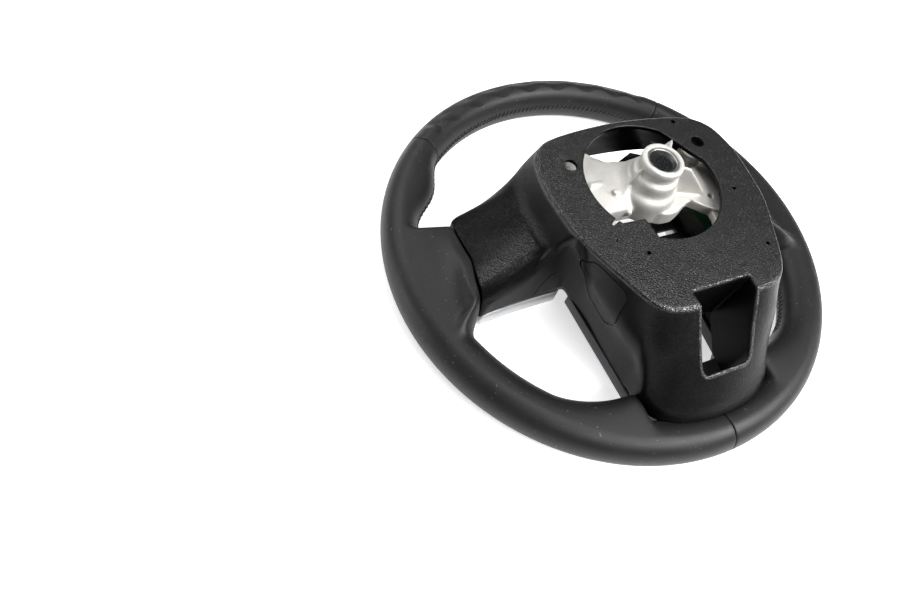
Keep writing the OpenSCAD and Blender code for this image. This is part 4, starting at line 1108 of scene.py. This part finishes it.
class WHEEL_OT_trims(bpy.types.Operator):
    """Builds the silver spoke frames"""
    bl_idname = "wheel.trims"
    bl_label = "Trims"

    def execute(self, context):
        corners = [[63, -28.5, 2], [106, -30, 40], [132, -32.5, 2.5], [135.5, -27, 3], [134.2, -17, 20],
                   [131.2, -4, 30], [129.6, 12, 30], [129.6, 40, 5], [126, 46.5, 4], [112, 47.5, 20],
                   [96, 46, 8], [84, 34, 12], [72, 8, 20]]
        profile = [(0.9, 1.0), (0.35, 1.2), (0.05, 1.7), (0, 2.4), (0, 12.9), (0.5, 13.0), (0.5, 13.5),
                   (0.05, 13.6), (0.05, 14.5), (0.3, 14.9), (0.8, 15.0), (3.2, 15.0), (3.7, 14.8), (4, 14.2),
                   (4, 1.8), (3.8, 1.3), (3.2, 1.0)]
        for label, mirrored in (("left", True), ("right", False)):
            wear(frame_sweep("silver_frame_" + label, corners, profile, mirrored), finish_of("silver_trim"),
                 nodes=["spoke_trim_" + label])
        return {"FINISHED"}


class WHEEL_OT_small_parts(bpy.types.Operator):
    """Rounds off the edges of the smaller moulded pieces"""
    bl_idname = "wheel.small_parts"
    bl_label = "Small parts"

    def execute(self, context):
        # node, body, slot, radius of its edges in mm
        pieces = [("lower_trim", "wheel", "satin_grey", 0.8), ("wiring_tray", "wheel", "tray_plastic", 0.5)]
        sides = ("left", "right")
        pieces += [("switch_pad_" + side, "wheel", "switch_plastic", 0.4) for side in sides]
        pieces += [("rocker_" + side, "rocker_" + side, "key_plastic", 0.6) for side in sides]
        for node, body, slot, radius in pieces:
            obj = cad_copy("rounded_" + node, node)
            bevel = obj.modifiers.new("Edge radius", "BEVEL")
            bevel.width = radius / 1000
            bevel.segments = 3
            bevel.limit_method = "ANGLE"
            bevel.angle_limit = 35 * DEG
            bevel.harden_normals = True
            obj.data.shade_smooth()
            wear(obj, finish_of(slot), body, [node])
        return {"FINISHED"}


class WHEEL_OT_finishes(bpy.types.Operator):
    """Gives every CAD piece that stays visible its finish"""
    bl_idname = "wheel.finishes"
    bl_label = "Finishes"

    def execute(self, context):
        for part in frame["record"]["subparts"]:
            obj = frame["nodes"].get(part["node"])
            if obj is None:
                raise RuntimeError("no CAD node " + part["node"])
            obj.data.materials.clear()
            obj.data.materials.append(finish_of(part["material_slot"]))
        return {"FINISHED"}


# Softboxes: name, place and aim in metres, width and height in metres, watts
LAMPS = [("key_softbox", (-0.25, 0.95, 0.95), (0, 0, 0.05), (1.0, 0.5), 9),
         ("top_softbox", (0.35, 0.05, 1.6), (0, 0, 0.05), (0.9, 0.9), 15),
         ("edge_softbox", (0.8, -0.62, 0.95), (0, -0.04, 0.07), (0.5, 0.22), 22),
         ("rim_softbox", (0.15, -0.8, 1.0), (0, 0.05, 0.05), (0.6, 0.25), 11),
         ("side_softbox", (-1.3, 0.55, 0.35), (-0.1, 0, 0.05), (0.6, 0.35), 6)]
AIR_LIGHT = 0.18
# Camera fitted to the photograph: place in metres, azimuth, elevation and roll in degrees, focal length
# in mm on a sensor 36 mm wide, and the picture's shift in shares of its width
CAMERA_PLACE = (-0.2807, -0.2040, 0.3593)
CAMERA_TURN = (-43.96, 62.74, 23.53)
CAMERA_LENS = 21.504
CAMERA_SHIFT = (-0.0153, 0.0757)


def softbox(name, place, aim, size, power):
    """A rectangular area lamp at a place, turned to a point."""
    data = bpy.data.lights.new(name, "AREA")
    data.shape = "RECTANGLE"
    data.size, data.size_y = size
    data.energy = power
    obj = new_object(name, data)
    way = Vector(aim) - Vector(place)
    obj.matrix_world = Matrix.Translation(place) @ way.to_track_quat("-Z", "Y").to_matrix().to_4x4()
    return obj


def photo_camera(name):
    """The photograph's camera: it looks down at the wheel from its azimuth and elevation, and is rolled
    round its line of sight."""
    data = bpy.data.cameras.new(name)
    data.sensor_width = 36.0
    data.lens = CAMERA_LENS
    data.shift_x, data.shift_y = CAMERA_SHIFT
    data.clip_start = 0.01
    data.clip_end = 20.0
    az, el, roll = (angle * DEG for angle in CAMERA_TURN)
    back = Vector((math.sin(az) * math.cos(el), -math.cos(az) * math.cos(el), math.sin(el)))
    right = (-back).cross(Vector((0, 0, 1))).normalized()
    up = right.cross(-back)
    axes = (math.cos(roll) * right + math.sin(roll) * up, math.cos(roll) * up - math.sin(roll) * right, back)
    camera = new_object(name, data)
    camera.matrix_world = Matrix.Translation(CAMERA_PLACE) @ Matrix(axes).transposed().to_4x4()
    return camera


class WHEEL_OT_stage(bpy.types.Operator):
    """Lays the pale floor, sets the lamps and puts the camera at the photograph's place"""
    bl_idname = "wheel.stage"
    bl_label = "Studio"

    def execute(self, context):
        scene = context.scene
        scene.view_settings.view_transform = "Standard"
        mesh = bpy.data.meshes.new("studio_floor")
        mesh.from_pydata([(-4, -4, 0), (4, -4, 0), (4, 4, 0), (-4, 4, 0)], [], [(0, 1, 2, 3)])
        f = Finish("white_studio_sweep")
        mesh.materials.append(f.done({"Base Color": mottle(f, 60, 2, "#e9e9e9", "#ededed"), "Roughness": 0.9,
                                      "Emission Color": "#ffffff", "Emission Strength": 0.6}))
        new_object("studio_floor", mesh)
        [softbox(*lamp) for lamp in LAMPS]
        world = bpy.data.worlds.new("studio_air")
        world.use_nodes = True
        air = world.node_tree.nodes["Background"]
        air.inputs["Color"].default_value = srgb("#ffffff")
        air.inputs["Strength"].default_value = AIR_LIGHT
        scene.world = world
        scene.camera = photo_camera("photo_camera")
        return {"FINISHED"}


OPERATORS = (WHEEL_OT_finishes, WHEEL_OT_leather, WHEEL_OT_cover, WHEEL_OT_casting, WHEEL_OT_trims,
             WHEEL_OT_small_parts, WHEEL_OT_stage)


class WHEEL_PT_panel(bpy.types.Panel):
    """Lists the wheel's building steps"""
    bl_idname = "WHEEL_PT_panel"
    bl_label = "Steering wheel"
    bl_space_type = "VIEW_3D"
    bl_region_type = "UI"
    bl_category = "Steering wheel"

    def draw(self, context):
        column = self.layout.column()
        for key in WheelSettings.__annotations__:
            column.prop(context.scene.wheel_settings, key)
        for item in OPERATORS:
            column.operator(item.bl_idname)


def register():
    """Registers the classes and the scene's settings."""
    for item in (WheelSettings, *OPERATORS, WHEEL_PT_panel):
        bpy.utils.register_class(item)
    bpy.types.Scene.wheel_settings = bpy.props.PointerProperty(type=WheelSettings)


def unregister():
    """Removes what register added."""
    del bpy.types.Scene.wheel_settings
    for item in (WHEEL_PT_panel, *reversed(OPERATORS), WheelSettings):
        bpy.utils.unregister_class(item)


def main():
    """Builds everything in order."""
    register()
    bpy.ops.wheel.finishes()
    bpy.ops.wheel.leather()
    bpy.ops.wheel.cover()
    bpy.ops.wheel.casting()
    bpy.ops.wheel.trims()
    bpy.ops.wheel.small_parts()
    bpy.ops.wheel.stage()


if __name__ == "__main__":
    main()
